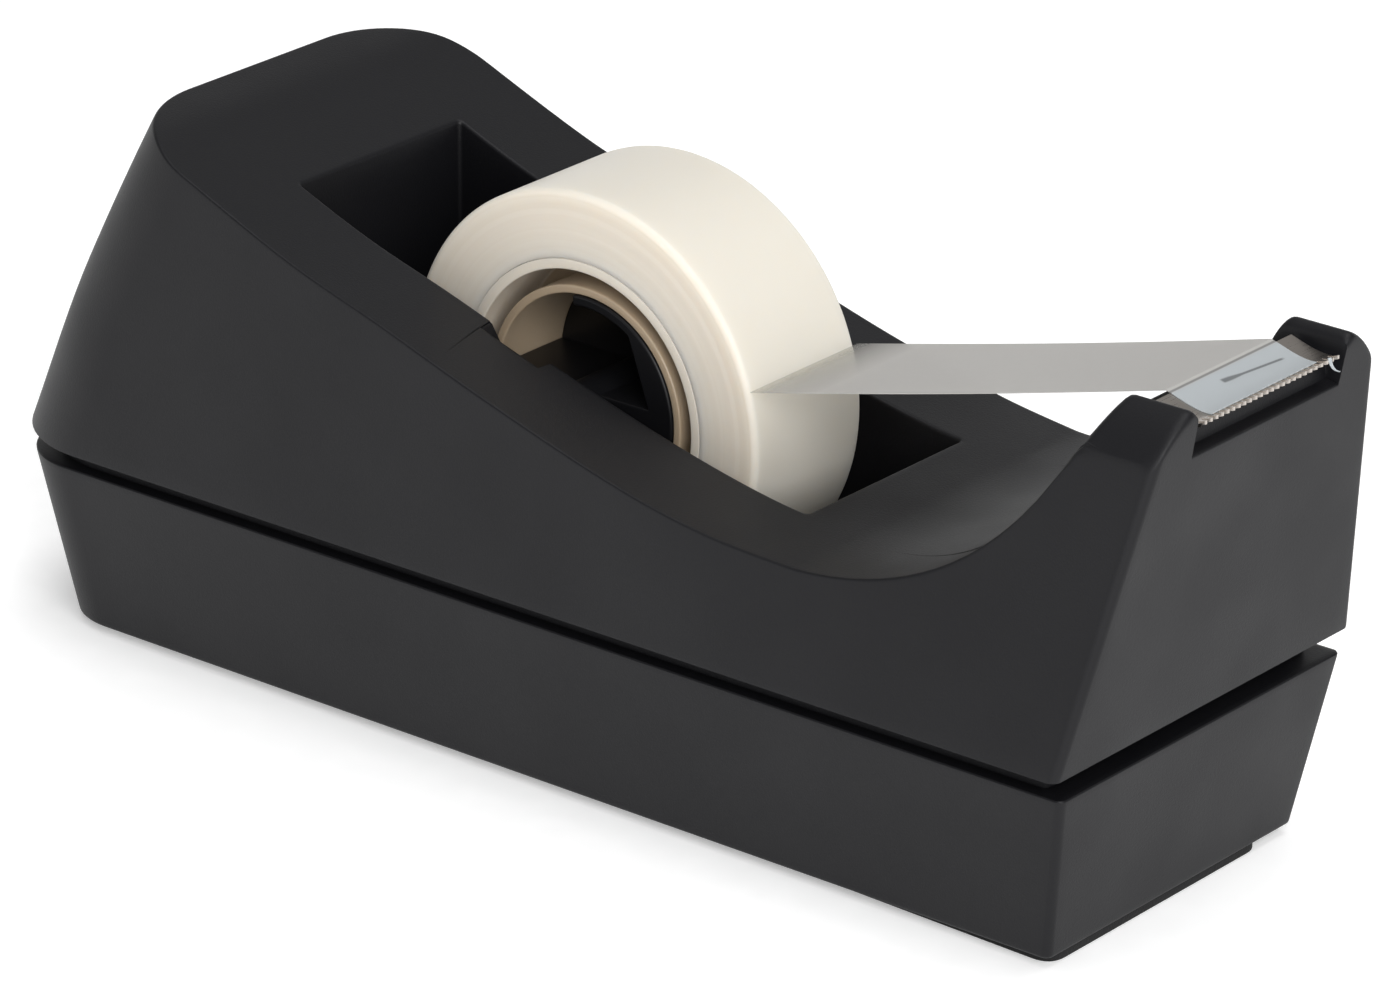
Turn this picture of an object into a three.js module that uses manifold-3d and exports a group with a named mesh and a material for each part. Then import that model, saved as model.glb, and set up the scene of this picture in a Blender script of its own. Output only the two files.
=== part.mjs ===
// Weighted desktop tape dispenser with a 19 mm tape roll on a 25.4 mm core, millimetres, +Z up.
// +X points at the cutter, Y runs across, and the origin is on the resting plane below the middle.
import * as THREE from "three";
import { mergeVertices } from "three/addons/utils/BufferGeometryUtils.js";
import Module from "manifold-3d";

const wasm = await Module();
wasm.setup();

// Roll and core, standard stationery sizes.
const TAPE_WIDTH = 19;
const CORE_BORE = 25.4;
const CORE_INNER_WALL = 1;
const CORE_OUTER_WALL = 1.2;
const CORE_WEB = 1.6;
const CORE_SECTION = 4.2;
const CORE_DIAMETER = CORE_BORE + 2 * CORE_SECTION;
const CORE_RIM_STEP = 0.7;
const ROLL_DIAMETER = 49.8;
const STRAND_THICKNESS = 0.12;

// Upper housing. Heights that start with UP are measured from the housing's bottom edge.
const HOUSING_LENGTH = 156.2;
const HOUSING_WIDTH = 54.5;
const FRONT_LEAN = 7;
const WALL = 2.4;
const REAR_CORNER_RADIUS = 15.8;
const REAR_CORNER_TIGHTENS = 1.6;
const REAR_CORNER_SETTLES = 22;
const FRONT_CORNER_RADIUS = 1.2;
const UP_REAR_CREST = 42;
const UP_VALLEY = 14.2;
const UP_RAMP_TOP = 38.6;
const UP_EAR_TOP = 40.05;
const EAR_CROWN = 2.6;
const EAR_CROWN_WIDTH = 3.4;
const REAR_LEAN = 0.42;
const REAR_LEAN_GROWTH = 0.00165;
const SIDE_DRAFT = 0.033;
const TOWER_DRAFT = 0.172;
const DRAFT_START = 58;
const DRAFT_END = 15;
const VALLEY_FROM_FRONT = 36.1;
const RAMP_END_FROM_FRONT = 1.9;

// Well for the roll and the slanted slots for the axle.
const WELL_SIDE_GAP = 4.3;
const WELL_WIDTH = TAPE_WIDTH + 2 * WELL_SIDE_GAP;
const WELL_REAR_GAP = 12.9;
const WELL_FRONT_GAP = 10.6;
const WELL_FLOOR_GAP = 1.3;
const WELL_WALL = 1.8;
const SPOOL_FROM_FRONT = 79.1;
const AXLE_DIAMETER = 5.4;
const AXLE_CLEARANCE = 0.25;
const SLOT_LEAN = 33;
const SLOT_DEPTH = 2;
const CHEEK_WALL = 1.6;

// Hub.
const HUB_CLEARANCE = 0.1;
const AXLE_END_GAP = 0.3;
const HUB_SHELL = 1.2;
const HUB_WEB = 3;
const HUB_END_SETBACK = 0.5;
const HUB_DISC = 1.6;
const HUB_DISC_FACE = 2;
const HUB_FLAT_INSET = 3.4;
const HUB_ARC_END = 98;
const HUB_ARC_START = 56.6;

// Cutter.
const BLADE_OVERHANG = 3;
const BLADE_WIDTH = TAPE_WIDTH + 2 * BLADE_OVERHANG;
const BLADE_THICKNESS = 0.5;
const BLADE_LENGTH = 6.2;
const BLADE_DIP = 1.2;
const BLADE_LEG = 3.6;
const TOOTH_PITCH = 1;
const TOOTH_DEPTH = 0.8;
const TEETH_BEHIND_FACE = 0.2;
const EAR_GAP = 0.9;
const SEAT_GAP = 0.1;
const UP_BLADE_REAR = 38.9;
const STEP_BEHIND_BLADE = 1;
const UP_TEETH = 38.1;
const RECESS_HEIGHT = 3.7;
const RECESS_DEPTH = 2.6;

// Base tray.
const PAD_THICKNESS = 1;
const ADHESIVE_THICKNESS = 0.1;
const LAYER_GAP = 0.05;
const TRAY_HEIGHT = 20.6;
const SHADOW_GAP = 2.4;
const TRAY_WALL = 2.2;
const RIM_INSET = 1.45;
const RIM_INSET_REAR = 2.2;
const TRAY_DRAFT = 3.5;
const TRAY_DRAFT_SIDE = 3.2;
const TRAY_DRAFT_REAR = 4.3;
const TRAY_REAR_RADIUS = 8.8;
const RIM_REAR_RADIUS = 10.5;
const TRAY_FRONT_RADIUS = 1;
const NECK_INSET = 3.3;
const NECK_WALL = 2;
const NECK_RISE = 1.4;
const FLANGE = 2;

// Screws and their bosses.
const SCREW_DIAMETER = 2.8;
const SCREW_LENGTH = 15;
const HEAD_DIAMETER = 5.4;
const HEAD_HEIGHT = 2;
const SCREW_CLEARANCE = 0.3;
const BOSS_WALL = 1.6;
const BOSS_SPREAD = 28;
const BOSS_BEHIND_WELL = 15.6;
const BOSS_AHEAD_OF_WELL = 21;

// Ballast.
const PLATE_THICKNESS = 2.8;
const PLATE_COUNT = 3;
const PLATE_SIDE_GAP = 0.6;
const PLATE_END_GAP = 1.2;
const FOAM_THICKNESS = 1.1;
const FOAM_SQUEEZE_GAP = 0.1;

// Non-skid pad, stuck on a little askew.
const PAD_INSET_FRONT = 0.5;
const PAD_INSET_REAR = 4;
const PAD_INSET_NEAR = 1.3;
const PAD_INSET_FAR = 5.3;
const PAD_SKEW = 4.5;
const PAD_RADIUS = 2.5;

// Places that follow from the sizes above.
const REAR_X = -(HOUSING_LENGTH + FRONT_LEAN) / 2;
const FRONT_X = REAR_X + HOUSING_LENGTH;
const TRAY_BOTTOM = PAD_THICKNESS + ADHESIVE_THICKNESS + 2 * LAYER_GAP;
const RIM_Z = TRAY_BOTTOM + TRAY_HEIGHT;
const FOOT_Z = RIM_Z + SHADOW_GAP;
const FLOOR_TOP_Z = TRAY_BOTTOM + TRAY_WALL;
const PLATES_TOP_Z = FLOOR_TOP_Z + LAYER_GAP + PLATE_COUNT * (PLATE_THICKNESS + LAYER_GAP);
const FOAM_TOP_Z = PLATES_TOP_Z + FOAM_THICKNESS;
const WELL_FLOOR_Z = FOAM_TOP_Z + FOAM_SQUEEZE_GAP + WELL_WALL;
const ROLL_R = ROLL_DIAMETER / 2;
const SPOOL_X = FRONT_X - SPOOL_FROM_FRONT;
const SPOOL_Z = WELL_FLOOR_Z + WELL_FLOOR_GAP + ROLL_R;
const WELL_REAR_X = SPOOL_X - ROLL_R - WELL_REAR_GAP;
const WELL_FRONT_X = SPOOL_X + ROLL_R + WELL_FRONT_GAP;
const BOSS_XS = [WELL_REAR_X - BOSS_BEHIND_WELL, WELL_FRONT_X + BOSS_AHEAD_OF_WELL];
const BOSS_YS = [-BOSS_SPREAD / 2, BOSS_SPREAD / 2];
const BOSS_R = HEAD_DIAMETER / 2 + SCREW_CLEARANCE + BOSS_WALL;
const BOSS_JOINT_Z = FOOT_Z - SHADOW_GAP / 2;
const EAR_INNER = BLADE_WIDTH / 2 + EAR_GAP;
const HUB_FLAT_X = CORE_BORE / 2 - HUB_CLEARANCE - HUB_FLAT_INSET;

// Materials.
const material = (name, color, roughness, metalness) =>
  new THREE.MeshStandardMaterial({ name, color, roughness, metalness });
const BLACK_ABS = material("black moulded ABS", 0x343437, 0.55, 0);
const NICKEL = material("nickel-plated steel", 0xc9ccd0, 0.25, 1);
const ZINC = material("zinc-plated steel", 0xb4b8bb, 0.4, 1);
const STEEL = material("mild steel plate", 0x7d8084, 0.5, 1);
const TAPE = material("matte acetate tape", 0xe9e2d2, 0.5, 0);
const CORE_PLASTIC = material("white polystyrene", 0xf1eee6, 0.4, 0);
const FOAM = material("grey polyethylene foam", 0x8d9093, 0.95, 0);
const RUBBER = material("black foam rubber", 0x1b1b1c, 0.95, 0);
const ADHESIVE = material("clear pressure-sensitive adhesive", 0xcfcabc, 0.6, 0);

// A closed geometry as a solid that can be joined and cut.
function solid(geometry) {
  const bare = geometry.clone();
  bare.deleteAttribute("normal");
  bare.deleteAttribute("uv");
  const merged = mergeVertices(bare, 1e-4);
  return new wasm.Manifold(
    new wasm.Mesh({
      numProp: 3,
      vertProperties: new Float32Array(merged.attributes.position.array),
      triVerts: new Uint32Array(merged.index.array),
    }),
  );
}

function geometryOf(shape) {
  const data = shape.getMesh();
  const geometry = new THREE.BufferGeometry();
  geometry.setAttribute("position", new THREE.BufferAttribute(data.vertProperties, 3));
  geometry.setIndex(new THREE.BufferAttribute(data.triVerts, 1));
  return geometry;
}

const dispenser = new THREE.Group();
dispenser.name = "tape_dispenser";

function place(name, geometry, look) {
  const mesh = new THREE.Mesh(geometry, look);
  mesh.name = name;
  dispenser.add(mesh);
  return mesh;
}

// A box between two corners.
function block(x0, x1, y0, y1, z0, z1) {
  const box = new THREE.BoxGeometry(x1 - x0, y1 - y0, z1 - z0);
  return box.translate((x0 + x1) / 2, (y0 + y1) / 2, (z0 + z1) / 2);
}

// A polygon in the XZ plane drawn out along Y between two planes.
function acrossY(points, y0, y1) {
  const shape = new THREE.Shape(points.map(([x, z]) => new THREE.Vector2(x, z)));
  const drawn = new THREE.ExtrudeGeometry(shape, { depth: y1 - y0, bevelEnabled: false });
  return drawn.rotateX(Math.PI / 2).translate(0, y1, 0);
}

// A polygon in the XY plane drawn out along Z.
function upward(points, z0, z1) {
  const shape = new THREE.Shape(points.map(([x, y]) => new THREE.Vector2(x, y)));
  const drawn = new THREE.ExtrudeGeometry(shape, { depth: z1 - z0, bevelEnabled: false });
  return drawn.translate(0, 0, z0);
}

// A polygon in the YZ plane drawn out along X.
function alongX(points, x0, x1) {
  const shape = new THREE.Shape(points.map(([y, z]) => new THREE.Vector2(y, z)));
  const drawn = new THREE.ExtrudeGeometry(shape, { depth: x1 - x0, bevelEnabled: false });
  const turn = new THREE.Matrix4().makeBasis(
    new THREE.Vector3(0, 1, 0),
    new THREE.Vector3(0, 0, 1),
    new THREE.Vector3(1, 0, 0),
  );
  return drawn.applyMatrix4(turn).translate(x0, 0, 0);
}

// An upright cylinder between two heights.
function post(x, y, radius, z0, z1, segments = 20) {
  const round = new THREE.CylinderGeometry(radius, radius, z1 - z0, segments);
  return round.rotateX(Math.PI / 2).translate(x, y, (z0 + z1) / 2);
}

// A closed [radius, y] profile turned about the spool's axis.
function turned(profile, segments = 64) {
  const closed = [...profile, profile[0]].map(([r, y]) => new THREE.Vector2(r, y));
  return new THREE.LatheGeometry(closed, segments).translate(SPOOL_X, 0, SPOOL_Z);
}

// A closed skin through rings of equal point count, each ring listed anticlockwise from above.
function loft(rings) {
  const count = rings[0].length;
  const points = rings.flat();
  const faces = [];
  for (let level = 0; level + 1 < rings.length; level += 1) {
    for (let i = 0; i < count; i += 1) {
      const a = level * count + i;
      const b = level * count + ((i + 1) % count);
      faces.push(a, b, b + count, a, b + count, a + count);
    }
  }
  const middle = (ring) => {
    const sum = ring.reduce((total, p) => total.add(p), new THREE.Vector3());
    return sum.divideScalar(count);
  };
  const low = points.push(middle(rings[0])) - 1;
  const high = points.push(middle(rings[rings.length - 1])) - 1;
  const top = (rings.length - 1) * count;
  for (let i = 0; i < count; i += 1) {
    const next = (i + 1) % count;
    faces.push(low, next, i, high, top + i, top + next);
  }
  const geometry = new THREE.BufferGeometry().setFromPoints(points);
  geometry.setIndex(faces);
  return geometry;
}

// A rounded plan outline at height z. halfWidth(x) may narrow towards one end.
function planOutline(z, rearX, frontX, rearR, frontR, halfWidth, stations) {
  const near = [];
  const corner = (cx, cy, radius, from, steps) => {
    for (let i = 0; i <= steps; i += 1) {
      const angle = THREE.MathUtils.degToRad(from + (90 * i) / steps);
      near.push([cx + radius * Math.cos(angle), cy + radius * Math.sin(angle)]);
    }
  };
  corner(rearX + rearR, rearR - halfWidth(rearX + rearR), rearR, 180, 8);
  for (let i = 1; i < stations; i += 1) {
    const x = THREE.MathUtils.lerp(rearX + rearR, frontX - frontR, i / stations);
    near.push([x, -halfWidth(x)]);
  }
  corner(frontX - frontR, frontR - halfWidth(frontX - frontR), frontR, 270, 3);
  const far = near.map(([x, y]) => [x, -y]).reverse();
  return [...near, ...far].map(([x, y]) => new THREE.Vector3(x, y, z));
}

// Side draft of the housing: nearly upright, growing towards the cutter tower.
function sideDraft(x) {
  const start = FRONT_X - DRAFT_START;
  const end = FRONT_X - DRAFT_END;
  return SIDE_DRAFT + TOWER_DRAFT * THREE.MathUtils.smoothstep(x, start, end);
}

const rearFaceX = (up) => REAR_X + REAR_LEAN * up + REAR_LEAN_GROWTH * up * up;
const frontFaceX = (up) => FRONT_X + (FRONT_LEAN * up) / UP_TEETH;

// The rear corners tighten a little above the foot.
function rearCornerRadius(up) {
  const share = THREE.MathUtils.smoothstep(up, 0, REAR_CORNER_SETTLES);
  return REAR_CORNER_RADIUS - REAR_CORNER_TIGHTENS * share;
}

// The housing's drafted walls as a closed block, shrunk on every side by inset.
function housingBlock(inset, lowest, highest) {
  const levels = 8;
  const rings = [];
  for (let i = 0; i <= levels; i += 1) {
    const up = THREE.MathUtils.lerp(lowest, highest, i / levels);
    const width = (x) => HOUSING_WIDTH / 2 - sideDraft(x) * up - inset;
    rings.push(
      planOutline(
        FOOT_Z + up,
        rearFaceX(up) + inset,
        frontFaceX(up) - inset,
        rearCornerRadius(up) - inset,
        Math.max(FRONT_CORNER_RADIUS - inset, 0.4),
        width,
        14,
      ),
    );
  }
  return solid(loft(rings));
}

// The deck line in the XZ plane, from the rear crest down to the valley and up the tower.
function deckLine() {
  const crestX = rearFaceX(UP_REAR_CREST);
  const valleyX = FRONT_X - VALLEY_FROM_FRONT;
  const rampX = FRONT_X - RAMP_END_FROM_FRONT;
  const run = valleyX - crestX;
  const fall = UP_REAR_CREST - UP_VALLEY;
  const shares = [[0, 1], [0.06, 0.955], [0.12, 0.865], [0.28, 0.638], [0.42, 0.486]];
  shares.push([0.57, 0.316], [0.74, 0.145], [0.88, 0.042], [1, 0]);
  const spline = new THREE.SplineCurve(
    shares.map(([s, h]) => new THREE.Vector2(crestX + run * s, FOOT_Z + UP_VALLEY + fall * h)),
  );
  const climb = UP_RAMP_TOP - UP_VALLEY;
  const reach = rampX - valleyX;
  const ramp = new THREE.CubicBezierCurve(
    new THREE.Vector2(valleyX, FOOT_Z + UP_VALLEY),
    new THREE.Vector2(valleyX + 0.5 * reach, FOOT_Z + UP_VALLEY),
    new THREE.Vector2(valleyX + 0.82 * reach, FOOT_Z + UP_VALLEY + 0.4 * climb),
    new THREE.Vector2(rampX, FOOT_Z + UP_RAMP_TOP),
  );
  return [...spline.getPoints(22), ...ramp.getPoints(12).slice(1)];
}

const DECK = deckLine();

// Everything under the deck line, as a slab wider than the housing.
function underDeck() {
  const tower = DECK[DECK.length - 1];
  const outline = [
    [REAR_X - 20, FOOT_Z - 40],
    [FRONT_X + 40, FOOT_Z - 40],
    [FRONT_X + 40, FOOT_Z + UP_EAR_TOP - 1.4],
    [frontFaceX(UP_EAR_TOP - 1.4), FOOT_Z + UP_EAR_TOP - 1.4],
    [frontFaceX(UP_EAR_TOP) - 0.5, FOOT_Z + UP_EAR_TOP - 0.4],
    [frontFaceX(UP_EAR_TOP) - 1.4, FOOT_Z + UP_EAR_TOP],
    [tower.x + 1.6, FOOT_Z + UP_EAR_TOP],
    [tower.x + 0.5, FOOT_Z + UP_EAR_TOP - 0.5],
    ...DECK.map((p) => [p.x, p.y]).reverse(),
    [REAR_X - 20, DECK[0].y],
  ];
  return solid(acrossY(outline, -HOUSING_WIDTH, HOUSING_WIDTH));
}

// The same line lowered so that the deck is one wall thick, measured square to it.
function underCeiling() {
  const line = DECK.map((p, i) => {
    const before = DECK[Math.max(i - 1, 0)];
    const after = DECK[Math.min(i + 1, DECK.length - 1)];
    const slope = (after.y - before.y) / (after.x - before.x);
    return [p.x, p.y - WALL * Math.hypot(1, slope)];
  });
  const last = line[line.length - 1];
  const outline = [
    [REAR_X - 20, FOOT_Z - 40],
    [FRONT_X + 40, FOOT_Z - 40],
    [FRONT_X + 40, last[1]],
    ...line.reverse(),
    [REAR_X - 20, DECK[0].y - WALL],
  ];
  return solid(acrossY(outline, -HOUSING_WIDTH, HOUSING_WIDTH));
}

// The slanted slot in the XZ plane, with a half-round seat for the axle, leaning back.
function slotOutline() {
  const lean = THREE.MathUtils.degToRad(SLOT_LEAN);
  const radius = AXLE_DIAMETER / 2 + AXLE_CLEARANCE;
  const points = [];
  for (let i = 0; i <= 12; i += 1) {
    const angle = Math.PI + (Math.PI * i) / 12 + lean;
    points.push([SPOOL_X + radius * Math.cos(angle), SPOOL_Z + radius * Math.sin(angle)]);
  }
  const reach = UP_REAR_CREST;
  const shift = [-Math.sin(lean) * reach, Math.cos(lean) * reach];
  const [first, last] = [points[0], points[points.length - 1]];
  points.push([last[0] + shift[0], last[1] + shift[1]]);
  points.push([first[0] + shift[0], first[1] + shift[1]]);
  return points;
}

// The wedges that come off the outer top edges of the ears, one on each side.
function earCrowns() {
  const x0 = FRONT_X - DRAFT_START / 2;
  const x1 = FRONT_X + 2 * FRONT_LEAN;
  const outer = HOUSING_WIDTH / 2 - sideDraft(FRONT_X) * UP_EAR_TOP;
  const inner = outer - EAR_CROWN_WIDTH;
  const top = FOOT_Z + UP_EAR_TOP;
  const bend = [outer - EAR_CROWN_WIDTH * 0.35, top - EAR_CROWN * 0.4];
  const wedge = [[outer + 0.6, top - EAR_CROWN - 1], [outer + 9, top - EAR_CROWN], [outer + 9, top + 9]];
  wedge.push([inner, top + 9], [inner, top], bend);
  const far = solid(alongX(wedge, x0, x1));
  const near = solid(alongX(wedge.map(([y, z]) => [-y, z]).reverse(), x0, x1));
  return far.add(near);
}

function upperHousing() {
  const top = UP_REAR_CREST + 6;
  const below = underDeck();
  let body = housingBlock(0, 0, top).intersect(below);
  body = body.subtract(housingBlock(WALL, -1, top).intersect(underCeiling()));

  const half = WELL_WIDTH / 2;
  const wellX = [WELL_REAR_X - WELL_WALL, WELL_FRONT_X + WELL_WALL];
  const wellLow = WELL_FLOOR_Z - WELL_WALL;
  const box = block(...wellX, -half - WELL_WALL, half + WELL_WALL, wellLow, FOOT_Z + top);
  body = body.add(solid(box).intersect(below));

  const cheek = half + SLOT_DEPTH + CHEEK_WALL;
  const cheekX = [SPOOL_X - AXLE_DIAMETER * 3, SPOOL_X + AXLE_DIAMETER * 1.3];
  const cheekLow = SPOOL_Z - AXLE_DIAMETER * 1.3;
  const cheeks = block(...cheekX, -cheek, cheek, cheekLow, FOOT_Z + top);
  body = body.add(solid(cheeks).intersect(below));

  const pocket = block(WELL_REAR_X, WELL_FRONT_X, -half, half, WELL_FLOOR_Z, FOOT_Z + 2 * top);
  body = body.subtract(solid(pocket));
  body = body.subtract(solid(acrossY(slotOutline(), -half - SLOT_DEPTH, half + SLOT_DEPTH)));

  const feet = block(REAR_X, FRONT_X, -cheek * 2, cheek * 2, BOSS_JOINT_Z - 1, FOOT_Z + 1);
  const inside = housingBlock(WALL / 2, 0, top).intersect(below).add(solid(feet));
  for (const x of BOSS_XS) {
    for (const y of BOSS_YS) {
      const column = solid(post(x, y, BOSS_R, BOSS_JOINT_Z + LAYER_GAP, FOOT_Z + top));
      body = body.add(column.intersect(inside));
    }
  }
  const pilotR = (SCREW_DIAMETER + SCREW_CLEARANCE) / 2;
  const pilotTop = headTopZ() + SCREW_LENGTH + 1;
  for (const x of BOSS_XS) {
    for (const y of BOSS_YS) {
      body = body.subtract(solid(post(x, y, pilotR, BOSS_JOINT_Z - 1, pilotTop, 12)));
    }
  }
  body = body.subtract(earCrowns());
  body = body.subtract(solid(acrossY(seatCut(), -EAR_INNER, EAR_INNER)));
  const [legX0, legX1, legZ] = bladeLegSlot();
  const slotHalf = BLADE_WIDTH / 2 + SEAT_GAP * 2;
  body = body.subtract(solid(block(legX0, legX1, -slotHalf, slotHalf, legZ, FOOT_Z + top)));
  return geometryOf(body);
}

// The cutter's centre line in the XZ plane: a landing that dips, then rises to the teeth.
function bladeLine() {
  const tipX = frontFaceX(UP_TEETH) - TEETH_BEHIND_FACE;
  const rearX = tipX - BLADE_LENGTH;
  const dipX = tipX - 0.3 * BLADE_LENGTH;
  return [
    [rearX, FOOT_Z + UP_BLADE_REAR],
    [dipX, FOOT_Z + UP_TEETH - BLADE_DIP / 2],
    [tipX, FOOT_Z + UP_TEETH],
  ];
}

// The gap between the ears: a low step behind the blade, a seat just under it and a recess below the teeth.
function seatCut() {
  const [rear, dip, tip] = bladeLine();
  const under = BLADE_THICKNESS + SEAT_GAP;
  const wall = frontFaceX(UP_TEETH) - RECESS_DEPTH;
  const share = (wall - rear[0]) / (dip[0] - rear[0]);
  const seat = THREE.MathUtils.lerp(rear[1], dip[1], share) - under;
  const low = FOOT_Z + UP_TEETH - RECESS_HEIGHT;
  return [
    [rear[0] - 12, rear[1] - under - STEP_BEHIND_BLADE],
    [rear[0], rear[1] - under - STEP_BEHIND_BLADE],
    [rear[0], rear[1] - under],
    [wall, seat],
    [wall + 0.3, low + 0.2],
    [tip[0] + 6, low - 0.4],
    [tip[0] + 6, FOOT_Z + UP_EAR_TOP + 6],
    [rear[0] - 12, FOOT_Z + UP_EAR_TOP + 6],
  ];
}

// The slot in the tower that the blade's folded leg drops into.
function bladeLegSlot() {
  const [rear] = bladeLine();
  const x = rear[0] + 1.2;
  const gap = SEAT_GAP;
  return [x - gap, x + BLADE_THICKNESS + gap, rear[1] - BLADE_THICKNESS - BLADE_LEG - 2 * gap];
}

function cutterBlade() {
  const line = bladeLine();
  const [rear, dip, tip] = line;
  const t = BLADE_THICKNESS;
  const half = BLADE_WIDTH / 2;
  const plate = acrossY(
    [
      [rear[0], rear[1] - t],
      [dip[0], dip[1] - t],
      [tip[0], tip[1] - t],
      [tip[0], tip[1]],
      [dip[0], dip[1]],
      [rear[0], rear[1]],
    ],
    -half,
    half,
  );
  const legX = rear[0] + 1.2;
  const leg = block(legX, legX + t, -half, half, rear[1] - t - BLADE_LEG, rear[1] - t * 0.8);
  const gullets = [];
  const count = Math.floor(BLADE_WIDTH / TOOTH_PITCH);
  const start = (-count * TOOTH_PITCH) / 2;
  gullets.push([tip[0] + 2, start - 2], [tip[0] + 2, -start + 2], [tip[0] + 0.1, -start + 2]);
  for (let i = count; i > 0; i -= 1) {
    gullets.push([tip[0] - 0.02, start + i * TOOTH_PITCH]);
    gullets.push([tip[0] - TOOTH_DEPTH, start + (i - 0.5) * TOOTH_PITCH]);
  }
  gullets.push([tip[0] - 0.02, start], [tip[0] + 0.1, start - 2]);
  const comb = solid(upward(gullets, tip[1] - 4, tip[1] + 4));
  return geometryOf(solid(plate).add(solid(leg)).subtract(comb));
}

// Hub section in the XZ plane, one half: web end, flat, arc shell. The other half mirrors it.
function hubHalf() {
  const radius = CORE_BORE / 2 - HUB_CLEARANCE;
  const web = HUB_WEB / 2;
  const inner = radius - HUB_SHELL;
  const points = [[HUB_FLAT_X, -web]];
  const low = THREE.MathUtils.radToDeg(Math.asin(-web / radius));
  for (let i = 0; i <= 14; i += 1) {
    const angle = THREE.MathUtils.degToRad(THREE.MathUtils.lerp(low, HUB_ARC_END, i / 14));
    points.push([radius * Math.cos(angle), radius * Math.sin(angle)]);
  }
  for (let i = 0; i <= 5; i += 1) {
    const degrees = THREE.MathUtils.lerp(HUB_ARC_END, HUB_ARC_START, i / 5);
    const angle = THREE.MathUtils.degToRad(degrees);
    points.push([inner * Math.cos(angle), inner * Math.sin(angle)]);
  }
  points.push([HUB_FLAT_X, web]);
  return points;
}

function spoolHub() {
  const half = hubHalf();
  const outline = [...half, ...half.map(([x, z]) => [-x, -z])];
  const placed = outline.map(([x, z]) => [SPOOL_X + x, SPOOL_Z + z]);
  const end = TAPE_WIDTH / 2 - HUB_END_SETBACK;
  let body = solid(acrossY(placed, -end, end));
  const discR = CORE_BORE / 2 - HUB_CLEARANCE;
  const disc = [[0, HUB_DISC_FACE], [discR, HUB_DISC_FACE]];
  disc.push([discR, HUB_DISC_FACE + HUB_DISC], [0, HUB_DISC_FACE + HUB_DISC]);
  body = body.add(solid(turned(disc)));
  const tip = WELL_WIDTH / 2 + SLOT_DEPTH - AXLE_END_GAP;
  const axleR = AXLE_DIAMETER / 2;
  const axle = [[0, -tip], [axleR - 0.4, -tip], [axleR, -tip + 0.4]];
  axle.push([axleR, tip - 0.4], [axleR - 0.4, tip], [0, tip]);
  body = body.add(solid(turned(axle, 24)));
  return geometryOf(body);
}

// Core: two rings joined by a thin web half way across.
function tapeCore() {
  const end = TAPE_WIDTH / 2;
  const bore = CORE_BORE / 2;
  const outer = CORE_DIAMETER / 2;
  const rim = end - CORE_RIM_STEP;
  const ring = outer - CORE_OUTER_WALL;
  const tube = bore + CORE_INNER_WALL;
  const web = CORE_WEB / 2;
  const profile = [[bore, -rim], [tube, -rim], [tube, -web], [ring, -web], [ring, -end]];
  profile.push([outer, -end], [outer, end], [ring, end], [ring, web], [tube, web]);
  profile.push([tube, rim], [bore, rim]);
  return turned(profile);
}

function tapeRoll() {
  const end = TAPE_WIDTH / 2;
  const inner = CORE_DIAMETER / 2 + LAYER_GAP;
  return turned([[inner, -end], [ROLL_R, -end], [ROLL_R, end], [inner, end]], 96);
}

// The free tape: it peels off the front of the roll, crosses to the blade and lies on it.
function tapeStrand() {
  const [rear, dip, tip] = bladeLine();
  const peel = THREE.MathUtils.degToRad(17.5);
  const lift = ROLL_R + 0.35;
  const lie = SEAT_GAP;
  const line = [
    [SPOOL_X + lift * Math.cos(peel), SPOOL_Z + lift * Math.sin(peel)],
    [rear[0] - 0.6, rear[1] + lie + 0.05],
    [rear[0] + 0.2, rear[1] + lie],
    [dip[0], dip[1] + lie],
    [tip[0] - TOOTH_DEPTH / 2, tip[1] + lie],
  ];
  const upper = line.map(([x, z]) => [x, z + STRAND_THICKNESS]).reverse();
  return acrossY([...line, ...upper], -TAPE_WIDTH / 2, TAPE_WIDTH / 2);
}

// Plan outline of the tray between its foot (share 0) and its rim (share 1), shrunk by inset.
function trayOutline(z, inset) {
  const share = (z - TRAY_BOTTOM) / TRAY_HEIGHT;
  const lerp = THREE.MathUtils.lerp;
  const half = HOUSING_WIDTH / 2 - RIM_INSET - lerp(TRAY_DRAFT_SIDE, 0, share) - inset;
  const rear = REAR_X + RIM_INSET_REAR + lerp(TRAY_DRAFT_REAR, 0, share) + inset;
  const front = FRONT_X - lerp(TRAY_DRAFT, 0, share) - inset;
  const rearR = Math.max(lerp(TRAY_REAR_RADIUS, RIM_REAR_RADIUS, share) - inset, 1);
  const frontR = Math.max(TRAY_FRONT_RADIUS - inset, 0.4);
  return planOutline(z, rear, front, rearR, frontR, () => half, 1);
}

// Plan outline of the neck that carries the housing over the tray.
function neckOutline(z, inset) {
  const half = HOUSING_WIDTH / 2 - NECK_INSET - inset;
  const rear = REAR_X + NECK_INSET + inset;
  const front = FRONT_X - NECK_INSET - inset;
  const rearR = Math.max(REAR_CORNER_RADIUS - NECK_INSET - inset, 1);
  return planOutline(z, rear, front, rearR, 1, () => half, 1);
}

const headTopZ = () => FOOT_Z - SHADOW_GAP - 7;

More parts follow.
